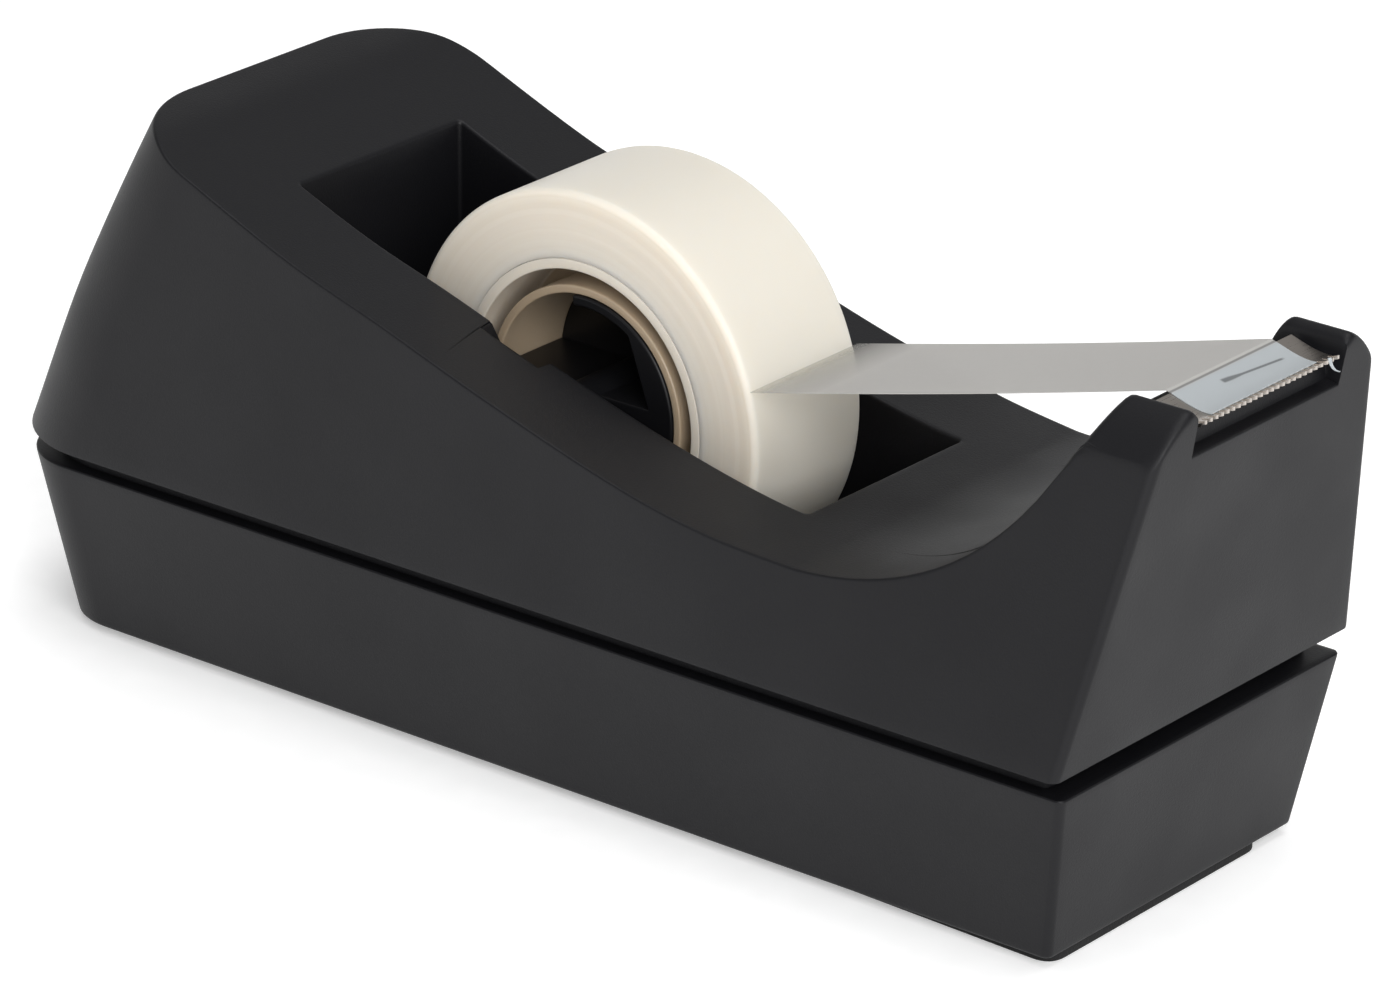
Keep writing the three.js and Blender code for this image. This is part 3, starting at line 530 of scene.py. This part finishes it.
def painted_shade_lines(tree, along, across):
    """How dark the film is drawn, from 0 to 1, by a pressed line and a fold.

    Both lines are painted shade. The first stands for the shade of a line pressed into the cutter under the
    film: it runs across at x 77.08 mm, leaning forward by 0.083 mm to the millimetre, from y -2.6 to 7.7 mm,
    and is wider at its near end. The second lies along the cutter's rear edge and is painted shade at the
    fold.
    """
    # Painted shade along a line pressed into the cutter under the film.
    lean = add(tree, "ShaderNodeMath", (across, 0.083, 0.07708), operation="MULTIPLY_ADD")
    off = add(tree, "ShaderNodeMath", (along, lean), operation="SUBTRACT")
    off = add(tree, "ShaderNodeMath", (off,), operation="ABSOLUTE")
    half = add(tree, "ShaderNodeMapRange", (across, -0.0012, 0.0008, 0.00034, 0.00017))
    ratio = add(tree, "ShaderNodeMath", (off, half), operation="DIVIDE")
    line = add(tree, "ShaderNodeMapRange", (ratio, 0.6, 1.2, 0.6, 0.0))
    for outside, inside in ((-0.0026, -0.0023), (0.0077, 0.0071)):
        window = add(tree, "ShaderNodeMapRange", (across, outside, inside, 0.0, 1.0))
        line = add(tree, "ShaderNodeMath", (line, window), operation="MULTIPLY")
    # Painted shade along the fold over the cutter's rear edge.
    fold = add(tree, "ShaderNodeMath", (along, 0.07522), operation="SUBTRACT")
    fold = add(tree, "ShaderNodeMath", (fold,), operation="ABSOLUTE")
    fold = add(tree, "ShaderNodeMapRange", (fold, 0.0001, 0.0002, 0.5, 0.0))
    return add(tree, "ShaderNodeMath", (line, fold), operation="MAXIMUM")


def frosted_film():
    """A single layer of matte acetate tape, frosted in the coating.

    It greys what is behind it and glows where light comes through. It is clearer near the roll,
    cooler where it is stuck to the cutter, and drawn dark grey at the fold and along a pressed line: painted
    shade. The frost is far finer than the slow unevenness of gloss, 1.4 mm across, that is drawn here.
    """
    material, tree, surface = new_material("matte acetate tape, single layer")
    where = add(tree, "ShaderNodeTexCoord", out="Object")
    along = add(tree, "ShaderNodeSeparateXYZ", (where,), "X")
    across = add(tree, "ShaderNodeSeparateXYZ", (where,), "Y")
    seen_through = add(tree, "ShaderNodeMapRange", (along, 0.0195, 0.029, 0.85, 0.12))
    fine = add(tree, "ShaderNodeTexNoise", {"Vector": where, "Scale": 700.0, "Detail": 1.0, "Roughness": 0.4})
    gloss = add(tree, "ShaderNodeMapRange", (fine, 0.3, 0.7, 0.46, 0.54))
    stuck = add(tree, "ShaderNodeMapRange", (along, 0.0752, 0.0756, 0.0, 1.0))
    tones = {0: stuck, 6: paint("#dcdad7"), 7: paint("#d5dadd")}
    film = add(tree, "ShaderNodeMix", tones, 2, data_type="RGBA")
    # Painted shade: the film is drawn dark grey at the fold over the cutter's rear edge and along the pressed
    # line.
    darker = {0: painted_shade_lines(tree, along, across), 6: film, 7: paint("#3a3b3d")}
    film = add(tree, "ShaderNodeMix", darker, 2, data_type="RGBA")
    sheet = add(tree, "ShaderNodeBsdfPrincipled", {"Base Color": film, "Roughness": gloss, "IOR": 1.47})
    glow = add(tree, "ShaderNodeBsdfTranslucent", {"Color": film})
    milky = add(tree, "ShaderNodeMixShader", (0.45, sheet, glow))
    clear = add(tree, "ShaderNodeBsdfTransparent", {"Color": paint("#f6f6f4")})
    tree.links.new(add(tree, "ShaderNodeMixShader", (seen_through, milky, clear)), surface)
    return material


def nickel_steel():
    """Pressed and nickel-plated spring steel: a soft mirror with fine rolling lines along the strip."""
    material, tree, surface = new_material("nickel-plated steel, pressed")
    where = add(tree, "ShaderNodeTexCoord", out="Object")
    drawn = add(tree, "ShaderNodeVectorMath", (where, (1.0, 0.05, 1.0)), operation="MULTIPLY")
    lines = add(tree, "ShaderNodeTexNoise", {"Vector": drawn, "Scale": 6000.0, "Detail": 2.0})
    values = {
        "Base Color": paint("#b9b2ab"),
        "Metallic": 1.0,
        "Roughness": add(tree, "ShaderNodeMapRange", (lines, 0.3, 0.7, 0.26, 0.34)),
        "Normal": add(tree, "ShaderNodeBump", {"Height": lines, "Strength": 0.05, "Distance": 0.00001}),
    }
    tree.links.new(add(tree, "ShaderNodeBsdfPrincipled", values), surface)
    return material


def foam_rubber():
    """Cellular rubber, closed cells about 0.3 mm: a dull black with a fine open grain."""
    material, tree, surface = new_material("black cellular rubber sheet")
    where = add(tree, "ShaderNodeTexCoord", out="Object")
    cells = add(tree, "ShaderNodeTexVoronoi", {"Vector": where, "Scale": 3300.0}, "Distance")
    values = {
        "Base Color": paint("#131314"),
        "Roughness": 0.92,
        "IOR": 1.52,
        "Normal": add(tree, "ShaderNodeBump", {"Height": cells, "Strength": 0.5, "Distance": 0.0001}),
    }
    tree.links.new(add(tree, "ShaderNodeBsdfPrincipled", values), surface)
    return material


def plain_metal(name, colour, roughness, scale):
    """Metal with a fine uneven finish."""
    material, tree, surface = new_material(name)
    where = add(tree, "ShaderNodeTexCoord", out="Object")
    fine = add(tree, "ShaderNodeTexNoise", {"Vector": where, "Scale": scale, "Detail": 3.0, "Roughness": 0.6})
    values = {
        "Base Color": paint(colour),
        "Metallic": 1.0,
        "Roughness": add(tree, "ShaderNodeMapRange", (fine, 0.3, 0.7, roughness - 0.07, roughness + 0.07)),
        "Normal": add(tree, "ShaderNodeBump", {"Height": fine, "Strength": 0.2, "Distance": 0.00003}),
    }
    tree.links.new(add(tree, "ShaderNodeBsdfPrincipled", values), surface)
    return material


def packing_foam():
    """Grey polyethylene foam with cells about 0.8 mm across."""
    material, tree, surface = new_material("grey polyethylene foam, cut")
    where = add(tree, "ShaderNodeTexCoord", out="Object")
    cells = add(tree, "ShaderNodeTexVoronoi", {"Vector": where, "Scale": 1250.0}, "Distance")
    tone = add(tree, "ShaderNodeMapRange", (cells, 0.0, 0.7, 0.0, 1.0))
    tones = {0: tone, 6: paint("#6f7275"), 7: paint("#9a9da0")}
    values = {
        "Base Color": add(tree, "ShaderNodeMix", tones, 2, data_type="RGBA"),
        "Roughness": 0.95,
        "IOR": 1.51,
        "Normal": add(tree, "ShaderNodeBump", {"Height": cells, "Strength": 0.6, "Distance": 0.0003}),
    }
    tree.links.new(add(tree, "ShaderNodeBsdfPrincipled", values), surface)
    return material


def adhesive_film():
    """A thin clear adhesive with a slow unevenness, every 2.5 mm or so, from rolling on."""
    material, tree, surface = new_material("pressure-sensitive adhesive, coated")
    where = add(tree, "ShaderNodeTexCoord", out="Object")
    slow = add(tree, "ShaderNodeTexNoise", {"Vector": where, "Scale": 400.0, "Detail": 2.0, "Roughness": 0.5})
    gloss = add(tree, "ShaderNodeMapRange", (slow, 0.3, 0.7, 0.4, 0.6))
    values = {"Base Color": paint("#cfcabc"), "Roughness": gloss, "IOR": 1.47}
    tree.links.new(add(tree, "ShaderNodeBsdfPrincipled", values), surface)
    return material


# Lightly spark-eroded, with a grain of 0.25 mm: a deep black that greys under soft light.
black_abs = moulded("black ABS, spark-eroded moulding", "#111114", 0.5, 4000, 0.00008)
# The same plastic from a smoother tool, for the hub that the core turns on: it shines a little more.
hub_abs = moulded("black ABS, polished moulding", "#121214", 0.36, 1500, 0.00002)
core_white = core_plastic()
tape_wound = wound_tape()
tape_film = frosted_film()
nickel = nickel_steel()
rubber = foam_rubber()
# Hot rolled: a dull grey with patches of scale about 1 mm across.
plate_steel = plain_metal("mild steel plate, hot rolled", "#6d6f72", 0.5, 900)
# Zinc-plated and bright, with a crystal grain of about 0.4 mm.
zinc_steel = plain_metal("zinc-plated steel, cold headed", "#b9bcbe", 0.36, 2600)
foam_grey = packing_foam()
glue = adhesive_film()


# ---------------------------------------------------------------- upper housing
# Columns whose crest lies ahead of EAR_COLUMNS_REACH get their rows at fixed stations in x. The others
# share their path out as if it ended at FULL_REACH.
EAR_COLUMNS_REACH = 75.3
FULL_REACH = 81.9
DECK_STATIONS = np.concatenate([
    np.linspace(WELL_FRONT, 71.8, 38)[1:],
    [72.2, 72.5, 72.8, 73.1, 73.4, 73.8, 74.3, 75.08, 75.16, 75.8, 77.4, 78.9, 79.02, 79.16, 79.3, 79.7],
])


def on_wall(up, inset=0.0):
    return stack(*housing_plan(up, inset), FOOT + up)


def on_well(up):
    return stack(*well_plan(up), FOOT + up)


def on_deck(x, y):
    return stack(x, y, FOOT + top_height(x, y))


def rim_points():
    """Where each column's well wall meets the deck, found by repeated substitution."""
    rim = np.full(COLS, 24.0)
    for _ in range(6):
        x, y = well_plan(rim)
        rim = top_height(x, y)
    return x, y, rim


def crest_points():
    """Where each column's outer wall meets the deck, and how far back its edge is rounded.

    The meeting point is found by repeated substitution. The rounding grows on the tower, is
    largest on the ears, and stays small at the front of the recess.
    """
    up = np.full(COLS, 30.0)
    for _ in range(12):
        x, y = housing_plan(up)
        up = top_height(x, y)
    ear = smooth(x, 66.0, 75.0) * smooth(y, EAR_INNER, EAR_INNER + 0.3)
    order = np.arange(COLS)
    sideways = np.clip((order - EDGES[2]) / (EDGES[3] - EDGES[2]), 0, 1)
    back = 0.3 + 0.35 * smooth(x, 42, 58) + ear * (0.6 - 0.1 * sideways)
    back = np.where((x > 79) & (y < EAR_INNER - 0.02), 0.3, back)
    return x, y, up, back


def deck_shares(reach):
    """Rows across the deck as shares of each column's path.

    Columns that reach the ears put rows exactly on the ramp's top edge and the seat's edges.
    """
    reach = np.where(reach > EAR_COLUMNS_REACH, reach, FULL_REACH)
    return (DECK_STATIONS[:, None] - WELL_FRONT) / (reach[None, :] - WELL_FRONT)


def well_rows(rim):
    """From the middle of the well's floor out to its wall, and up to just under the rim."""
    x, y = well_plan(WELL_FLOOR)
    rows = []
    for share in (0.0, 0.4, 0.8, 0.985):
        rows.append(stack(WELL_MIDDLE + (x - WELL_MIDDLE) * share, y * share, FOOT + WELL_FLOOR))
    for share in (0, .3, .5, .6, .65, .68, .695, .71, .73, .76, .8, .85, .9, .95, 1):
        rows.append(on_well(WELL_FLOOR + (rim - WELL_LIP - WELL_FLOOR) * share))
    return rows


def deck_rows(well, crest):
    """Over the well's rounded rim, across the deck, and over the rounded edge of the outer wall."""
    wx, wy, rim = well
    cx, cy, peak, back = crest
    path = np.stack([cx - wx, cy - wy], axis=-1)
    length = np.linalg.norm(path, axis=-1)
    way = path / length[:, None]
    inner = stack(wx, wy, FOOT + rim - WELL_LIP)
    corner = stack(wx, wy, FOOT + rim)
    outer = on_deck(wx + way[:, 0] * WELL_LIP, wy + way[:, 1] * WELL_LIP)
    rows = [bezier([inner, corner, outer], t) for t in (0.25, 0.5, 0.75, 1.0)]

    start = WELL_LIP / length
    end = 1 - back / length
    exact = deck_shares(cx)
    even = start + (end - start) * np.clip(exact, 0, 1)
    shares = np.where((cx > EAR_COLUMNS_REACH)[None, :], np.maximum(exact, start), even)
    for share in np.minimum(shares, end - 0.3 / length):
        rows.append(on_deck(wx + path[:, 0] * share, wy + path[:, 1] * share))
    deck_end = on_deck(wx + path[:, 0] * end, wy + path[:, 1] * end)
    edge = [deck_end, stack(cx, cy, FOOT + peak), on_wall(peak - back)]
    return rows + [bezier(edge, t) for t in np.linspace(0, 1, 8)]


def wall_rows(top):
    """Down the outer wall, round the foot, and up the inside of the wall."""
    rows = []
    for share in np.concatenate([[0.015], np.linspace(0, 1, 18)[1:]]):
        rows.append(on_wall(top + (0.35 - top) * share))
    for up, inset in ((0.1, 0.03), (0.0, 0.25), (0.0, 1.2), (0.0, 2.35), (0.3, 2.4), (7.0, 2.4)):
        rows.append(on_wall(up, inset))
    return rows


def upper_housing():
    """One closed skin: the well, the deck, the outer wall, and back inside and under the well."""
    well = rim_points()
    crest = crest_points()
    rows = well_rows(well[2]) + deck_rows(well, crest) + wall_rows(crest[2] - crest[3])
    x, y = well_plan(-8.0, WELL_WALL)
    inside, under = FOOT + 7.0, FOOT - 11.0
    rows += [stack(x, y, inside), stack(x, y, under)]
    rows.append(stack(np.full(COLS, WELL_MIDDLE), np.zeros(COLS), under))
    return skin("housing_shell", full_round(rows), black_abs)


# ---------------------------------------------------------------- base tray
def tray_ring(z, inset):
    """The tray's outline at height z: it narrows downwards, more at the rear."""
    share = (z - TRAY_LOW) / (TRAY_RIM - TRAY_LOW)
    half = HALF_WIDTH - TRAY_SIDE_IN - TRAY_SIDE_DRAFT * (1 - share) - inset
    rear = REAR + TRAY_REAR_IN + TRAY_REAR_DRAFT * (1 - share) + inset
    front = FRONT - TRAY_FRONT_DRAFT * (1 - share) - inset
    rear_r = max(TRAY_CORNER + 1.7 * share - inset, 1.0)
    front_r = max(1.0 - inset, 0.3)
    x, y = plan(rear, front, lambda at, cols: np.full(np.shape(at), half), rear_r, front_r)
    return stack(x, y, z)


def neck_ring(z, inset):
    """The neck that carries the housing clear of the tray."""
    half = HALF_WIDTH - NECK_IN - inset
    rear = REAR + NECK_IN + inset
    front = FRONT - NECK_IN - inset
    rear_r = max(REAR_RADIUS - NECK_IN - inset, 1.0)
    x, y = plan(rear, front, lambda at, cols: np.full(np.shape(at), half), rear_r, 1.0)
    return stack(x, y, z)


def base_tray():
    """Rows run from the middle of the underside out, up the drafted wall, over the rim, up the neck
    and down inside to the floor."""
    low = tray_ring(TRAY_LOW, 0.4)
    rows = [low * np.array([0.0, 0.0, 1.0]), low * np.array([0.6, 0.6, 1.0])]
    rows += [tray_ring(TRAY_LOW, 1.2), low]
    rows += [tray_ring(TRAY_LOW + 0.05, 0.16), tray_ring(TRAY_LOW + 0.2, 0.03), tray_ring(TRAY_LOW + 0.45, 0)]
    rows += [tray_ring(z, 0) for z in np.linspace(2.2, TRAY_RIM - 0.9, 14)]
    rows += [tray_ring(TRAY_RIM - 0.5, 0), tray_ring(TRAY_RIM - 0.2, 0.04), tray_ring(TRAY_RIM - 0.05, 0.18)]
    rows += [tray_ring(TRAY_RIM, 0.42), tray_ring(TRAY_RIM, 1.0)]
    rows += [neck_ring(TRAY_RIM, -0.3), neck_ring(TRAY_RIM, 0), neck_ring(TRAY_RIM + 0.3, 0)]
    rows += [neck_ring(FOOT + NECK_TOP, 0), neck_ring(FOOT + NECK_TOP, 2), neck_ring(TRAY_RIM - 2, 2)]
    rows += [tray_ring(TRAY_RIM - 2, TRAY_WALL), tray_ring(3.4, TRAY_WALL)]
    rows.append(rows[-1] * np.array([0.0, 0.0, 1.0]))
    return skin("base_tray_shell", full_round(rows), black_abs)


# ---------------------------------------------------------------- non-skid pad
def pad_corners():
    """A skewed four-sided outline inside the tray's lower edge."""
    half = HALF_WIDTH - TRAY_SIDE_IN - TRAY_SIDE_DRAFT
    front = FRONT - TRAY_FRONT_DRAFT - 0.5
    rear = REAR + TRAY_REAR_IN + TRAY_REAR_DRAFT + 4
    near = -half + 1.3
    far = half - 5.3
    return np.array([[rear, near + 4.5], [front, near], [front, far], [rear, far + 2.7]])


def rubber_pad():
    """The pad's outline with rounded corners, drawn up through its thickness with eased cut edges."""
    outline = rounded(pad_corners(), 2.5, 8)
    middle = outline.mean(axis=0)
    direction = (outline - middle) / np.linalg.norm(outline - middle, axis=1, keepdims=True)
    side = [(0, 0.6), (0, 0.15), (0.04, 0.03), (0.15, 0), (0.85, 0), (0.96, 0.03), (1, 0.15), (1, 0.6)]
    rings = [(z, outline - direction * inset) for z, inset in side]
    centre = np.tile(middle, (len(outline), 1))
    rings = [(0, centre), *rings, (1, centre)]
    return skin("rubber_pad", [stack(ring[:, 0], ring[:, 1], z) for z, ring in rings], rubber)


# ---------------------------------------------------------------- cutter
def landing_line(share):
    """The cutter's section: a landing that slopes down, dips and rises to the teeth."""
    rear, dip, tip = (np.array(p) for p in (BLADE_REAR, BLADE_DIP, BLADE_TIP))
    return bezier([rear, rear * 0.5 + dip * 0.5, dip + (0.2, -0.12), tip], share)


def blade():
    """The landing line drawn across the width; a cosine wave trims the front edge into rounded teeth."""
    y = np.linspace(-BLADE_HALF, BLADE_HALF, 451)
    wave = 0.5 - 0.5 * np.cos(2 * math.pi * (y + 0.5) / TOOTH_PITCH)
    notch = TOOTH_DEPTH * wave ** 0.9
    line = landing_line(np.concatenate([np.linspace(0, 0.92, 26), [0.96, 1.0]])[:, None])
    trim = np.clip((line[:, 0] - TEETH_FROM) / (BLADE_TIP[0] - TEETH_FROM), 0, 1)[:, None]
    x = line[:, :1] - notch[None, :] * trim
    z = np.interp(x, line[:, 0], line[:, 1])
    upper = np.stack([x, np.broadcast_to(y, x.shape), FOOT + z], axis=-1)
    lower = upper - np.array([0, 0, BLADE_THICK])
    rows = np.concatenate([upper, lower[::-1]], axis=0)
    ends = (rows + rows[::-1])[:, [0, -1]] / 2
    grid = np.concatenate([ends[:, :1], rows, ends[:, 1:]], axis=1)
    return skin("cutter_plate", grid, nickel, wrap_rows=True, wrap_cols=False, sharp=40)


# ---------------------------------------------------------------- roll, core and hub
def tape_roll():
    """A wound ring with slightly eased edges; the sides are very slightly stepped by winding."""
    r0, r1, h = CORE_RADIUS + 0.05, ROLL_RADIUS, TAPE_HALF
    ease = 0.8
    turn = np.linspace(0, math.pi / 2, 9)
    edge = np.stack([r1 - ease + ease * np.sin(turn), h - 0.03 - ease + ease * np.cos(turn)], axis=-1)
    r = np.linspace(r0, r1 - ease - 0.1, 40)
    side = np.stack([r, h - 0.03 - 0.012 * (1 + np.sin(r * 3.1))], axis=-1)
    middle = np.stack([np.full(7, r1), np.linspace(h - 2, -h + 2, 7)], axis=-1)
    mirror = np.array([1.0, -1.0])
    inner = np.array([[r0, -h + 0.2], [r0, h - 0.2]])
    profile = np.concatenate([side, edge, middle, edge[::-1] * mirror, side[::-1] * mirror, inner])
    return turned("tape_roll_turns", profile, tape_wound, 256)


def tape_core():
    """Two rings joined by a thin web half way across."""
    h = TAPE_HALF
    bore, tube, ring, outer = BORE, BORE + 1, CORE_RADIUS - 1.2, CORE_RADIUS
    rim = h - 0.7
    side = [[bore, -rim], [tube, -rim], [tube, -0.8], [ring, -0.8], [ring, -h], [outer, -h]]
    side += [[outer, h], [ring, h], [ring, 0.8], [tube, 0.8], [tube, rim], [bore, rim]]
    ease = np.full(len(side), 0.22)
    ease[[5, 6]] = 0.03
    return turned("tape_core_rings", rounded(side, ease, 4), core_white, 192)


def hub_outline():
    """Half of the hub's section: the end of a web and an arc of shell. The other half is the same
    turned half round."""
    radius, web, inner = BORE - 0.1, 1.5, BORE - 1.3
    low = math.asin(-web / radius)
    out = np.linspace(low, math.radians(98), 26)
    back = np.radians(np.linspace(98, 56.6, 10))
    shell = radius * np.stack([np.cos(out), np.sin(out)], axis=-1)
    lining = inner * np.stack([np.cos(back), np.sin(back)], axis=-1)
    half = np.concatenate([[[9.2, -web]], shell, lining, [[9.2, web]]])
    return np.concatenate([half, -half])


def hub_shell():
    """The hub's section drawn across the core's width, with eased end edges."""
    outline = hub_outline()
    count = len(outline)
    end = TAPE_HALF - 0.5
    verts = np.concatenate([
        np.stack([SPOOL[0] + outline[:, 0], np.full(count, y), SPOOL[2] + outline[:, 1]], axis=-1)
        for y in (-end, end)
    ])
    i = np.arange(count)
    j = (i + 1) % count
    faces = np.stack([i, j, j + count, i + count], axis=-1).tolist()
    faces += [i.tolist(), (i + count).tolist()]
    obj = add_object("hub_body", verts, faces, hub_abs, 30)
    ease = obj.modifiers.new("eased edges", "BEVEL")
    ease.width = 0.00025
    ease.segments = 3
    ease.limit_method = "ANGLE"
    ease.angle_limit = math.radians(40)
    return obj


def hub_disc():
    """A thin disc across the hub, with eased edges."""
    r = BORE - 0.1
    face = [[0, 2.0], [r * 0.5, 2.0], [r - 0.3, 2.0], [r - 0.08, 2.08], [r, 2.3], [r, 3.3]]
    face += [[r - 0.08, 3.52], [r - 0.3, 3.6], [r * 0.5, 3.6], [0, 3.6]]
    return turned("hub_disc", face, hub_abs, 128, closed=False)


def hub_axle():
    """A plain pin whose rounded ends stop just short of the slots' outer walls."""
    tip = WELL_HALF + SLOT_DEPTH - 0.3
    r = 2.7
    corner = [[r - 0.6, tip], [r - 0.4, tip - 0.03], [r - 0.1, tip - 0.2], [r, tip - 0.5]]
    side = np.array([[0, tip], *corner, [r, tip - 1.2]])
    profile = np.concatenate([side, side[::-1] * np.array([1, -1])])
    return turned("hub_axle", profile, hub_abs, 48, closed=False)


# ---------------------------------------------------------------- free tape
def ribbon(name, line, thickness):
    """A thin closed strip, as wide as the tape, along a line in the XZ plane."""
    y = np.linspace(-TAPE_HALF, TAPE_HALF, 21)
    shape = (len(line), len(y))
    x = np.broadcast_to(line[:, :1], shape)
    z = np.broadcast_to(line[:, 1:], shape)
    upper = np.stack([x, np.broadcast_to(y, shape), z + thickness], axis=-1)
    lower = np.stack([x, np.broadcast_to(y, shape), z], axis=-1)
    rows = np.concatenate([upper, lower[::-1]], axis=0)
    ends = (rows + rows[::-1]) / 2
    grid = np.concatenate([ends[:, :1], rows, ends[:, -1:]], axis=1)
    return skin(name, grid, tape_film, wrap_rows=True, wrap_cols=False, sharp=18)


def free_tape():
    """The tape leaves the roll on a tangent, runs to the cutter and lies on its landing.

    It is drawn 0.1 mm thick, where the real film is 0.06, so that it has two clean faces.
    """
    peel = math.radians(17.5)
    out = ROLL_RADIUS + 0.35
    start = np.array([SPOOL[0] + out * math.cos(peel), SPOOL[2] + out * math.sin(peel)])
    rear = np.array(BLADE_REAR) + (0, FOOT)
    t = np.linspace(0, 1, 36)[:, None]
    over = rear + (-0.5, 0.17)
    sag = -0.25 * np.sin(math.pi * t)
    run = start * (1 - t) + over * t + sag * np.array([0, 1.0])
    lie = landing_line(np.linspace(0.04, 0.84, 14)[:, None]) + (0, FOOT + 0.06)
    return ribbon("free_tape", np.concatenate([run, lie]), 0.1)


def tape_sliver():
    """A torn sliver left on the last teeth, curling down: a thin closed strip along a cubic curve."""
    t = np.linspace(0, 1, 24)[:, None]
    knots = [(81.25, 10.9, 38.2), (81.4, 11.0, 37.2), (81.45, 11.6, 36.6), (81.5, 12.6, 36.2)]
    path = bezier(knots, t) + (0, 0, FOOT)
    wide = (1 - 0.7 * t) * np.array([0.16, 0.1, 0.04])
    thick = np.array([0.0, 0.02, 0.03])
    corners = [path - wide - thick, path + wide - thick, path + wide + thick, path - wide + thick]
    grid = np.stack(corners, axis=1)
    tips = grid[[0, -1]].mean(axis=1, keepdims=True).repeat(4, axis=1)
    grid = np.concatenate([tips[:1], grid, tips[1:]])
    return skin("tape_sliver", grid, tape_film, sharp=60)


# ---------------------------------------------------------------- assembly
def ride_and_replace(obj, body, node):
    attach(obj, body)
    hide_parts(node)
    return obj


ride_and_replace(upper_housing(), "base", "upper_housing")
ride_and_replace(base_tray(), "base", "base_tray")
ride_and_replace(rubber_pad(), "base", "non_skid_pad")
ride_and_replace(blade(), "base", "cutter_blade")
ride_and_replace(free_tape(), "base", "tape_strand")
ride_and_replace(tape_sliver(), "base", "tape_strand")
ride_and_replace(tape_roll(), "reel", "tape_roll")
ride_and_replace(tape_core(), "reel", "tape_core")
for piece in (hub_shell(), hub_disc(), hub_axle()):
    ride_and_replace(piece, "hub", "spool_hub")

finishes = {"pad_adhesive": glue, "ballast_foam": foam_grey}
finishes.update({f"ballast_plate_{i}": plate_steel for i in (1, 2, 3)})
finishes.update({f"screw_{end}_{side}": zinc_steel for end in ("rear", "front") for side in ("near", "far")})
for node, finish in finishes.items():
    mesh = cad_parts[node].data
    mesh.materials.clear()
    mesh.materials.append(finish)


# ---------------------------------------------------------------- studio
def studio_floor():
    """White matt paper, with a faint unevenness 3 mm across; it glows a little, so that it stays white."""
    material, tree, surface = new_material("white matt paper")
    where = add(tree, "ShaderNodeTexCoord", out="Object")
    fine = add(tree, "ShaderNodeTexNoise", {"Vector": where, "Scale": 300.0, "Detail": 2.0, "Roughness": 0.5})
    tone = add(tree, "ShaderNodeMapRange", (fine, 0.3, 0.7, 0.88, 0.92))
    colour = add(tree, "ShaderNodeCombineColor", (tone, tone, tone))
    paper = add(tree, "ShaderNodeBsdfDiffuse", {"Color": colour})
    lift = add(tree, "ShaderNodeEmission", {"Color": paint("#ffffff"), "Strength": 0.32})
    tree.links.new(add(tree, "ShaderNodeAddShader", (paper, lift)), surface)
    size = 6000.0
    corners = np.array([[-size, -size, 0], [size, -size, 0], [size, size, 0], [-size, size, 0]])
    floor = add_object("studio_floor", corners, [[0, 1, 2, 3]], material)


def area_light(name, place, aim, size, power):
    """A rectangular light at place that faces aim; size is its two sides in metres."""
    data = bpy.data.lights.new(name, "AREA")
    data.shape = "RECTANGLE"
    data.size, data.size_y = size
    data.energy = power
    lamp = bpy.data.objects.new(name, data)
    direction = Vector(aim) - Vector(place)
    turn = direction.to_track_quat("-Z", "Y").to_matrix().to_4x4()
    lamp.matrix_world = Matrix.Translation(Vector(place)) @ turn
    bpy.context.scene.collection.objects.link(lamp)


def studio_world(strength):
    world = bpy.data.worlds.new("soft white room")
    world.use_nodes = True
    ground = world.node_tree.nodes["Background"]
    ground.inputs["Color"].default_value = paint("#ffffff")
    ground.inputs["Strength"].default_value = strength
    bpy.context.scene.world = world


def studio_camera():
    """A long lens from the front right and above, rolled by under half a degree."""
    azimuth, elevation, roll = (math.radians(a) for a in (38.912, 22.611, 0.431))
    target = Vector((0.00497, 0.0, 0.02976))
    back = Vector((
        math.sin(azimuth) * math.cos(elevation),
        -math.cos(azimuth) * math.cos(elevation),
        math.sin(elevation),
    ))
    right = Vector((math.cos(azimuth), math.sin(azimuth), 0.0))
    upward = back.cross(right)
    right2 = right * math.cos(roll) + upward * math.sin(roll)
    up2 = upward * math.cos(roll) - right * math.sin(roll)
    data = bpy.data.cameras.new("camera")
    data.sensor_width = 36.0
    data.lens = 188.2
    camera = bpy.data.objects.new("camera", data)
    turn = Matrix((right2, up2, back)).transposed().to_4x4()
    camera.matrix_world = Matrix.Translation(target + back * 0.81981) @ turn
    bpy.context.scene.collection.objects.link(camera)
    bpy.context.scene.camera = camera


studio_floor()
studio_world(0.3)
area_light("front light", (0.8, -0.6, 0.5), (0.0, 0.0, 0.03), (0.6, 0.6), 9.5)
area_light("overhead light", (0.15, 0.05, 1.2), (0.0, 0.0, 0.0), (0.9, 0.7), 7.0)
area_light("side glow", (-0.75, -1.05, 0.14), (0.0, 0.0, 0.05), (1.2, 0.25), 1.3)
area_light("backdrop glow", (-1.0, 1.25, 0.3), (0.0, 0.0, 0.05), (2.4, 0.5), 4.0)
studio_camera()
bpy.context.scene.view_settings.view_transform = "Standard"
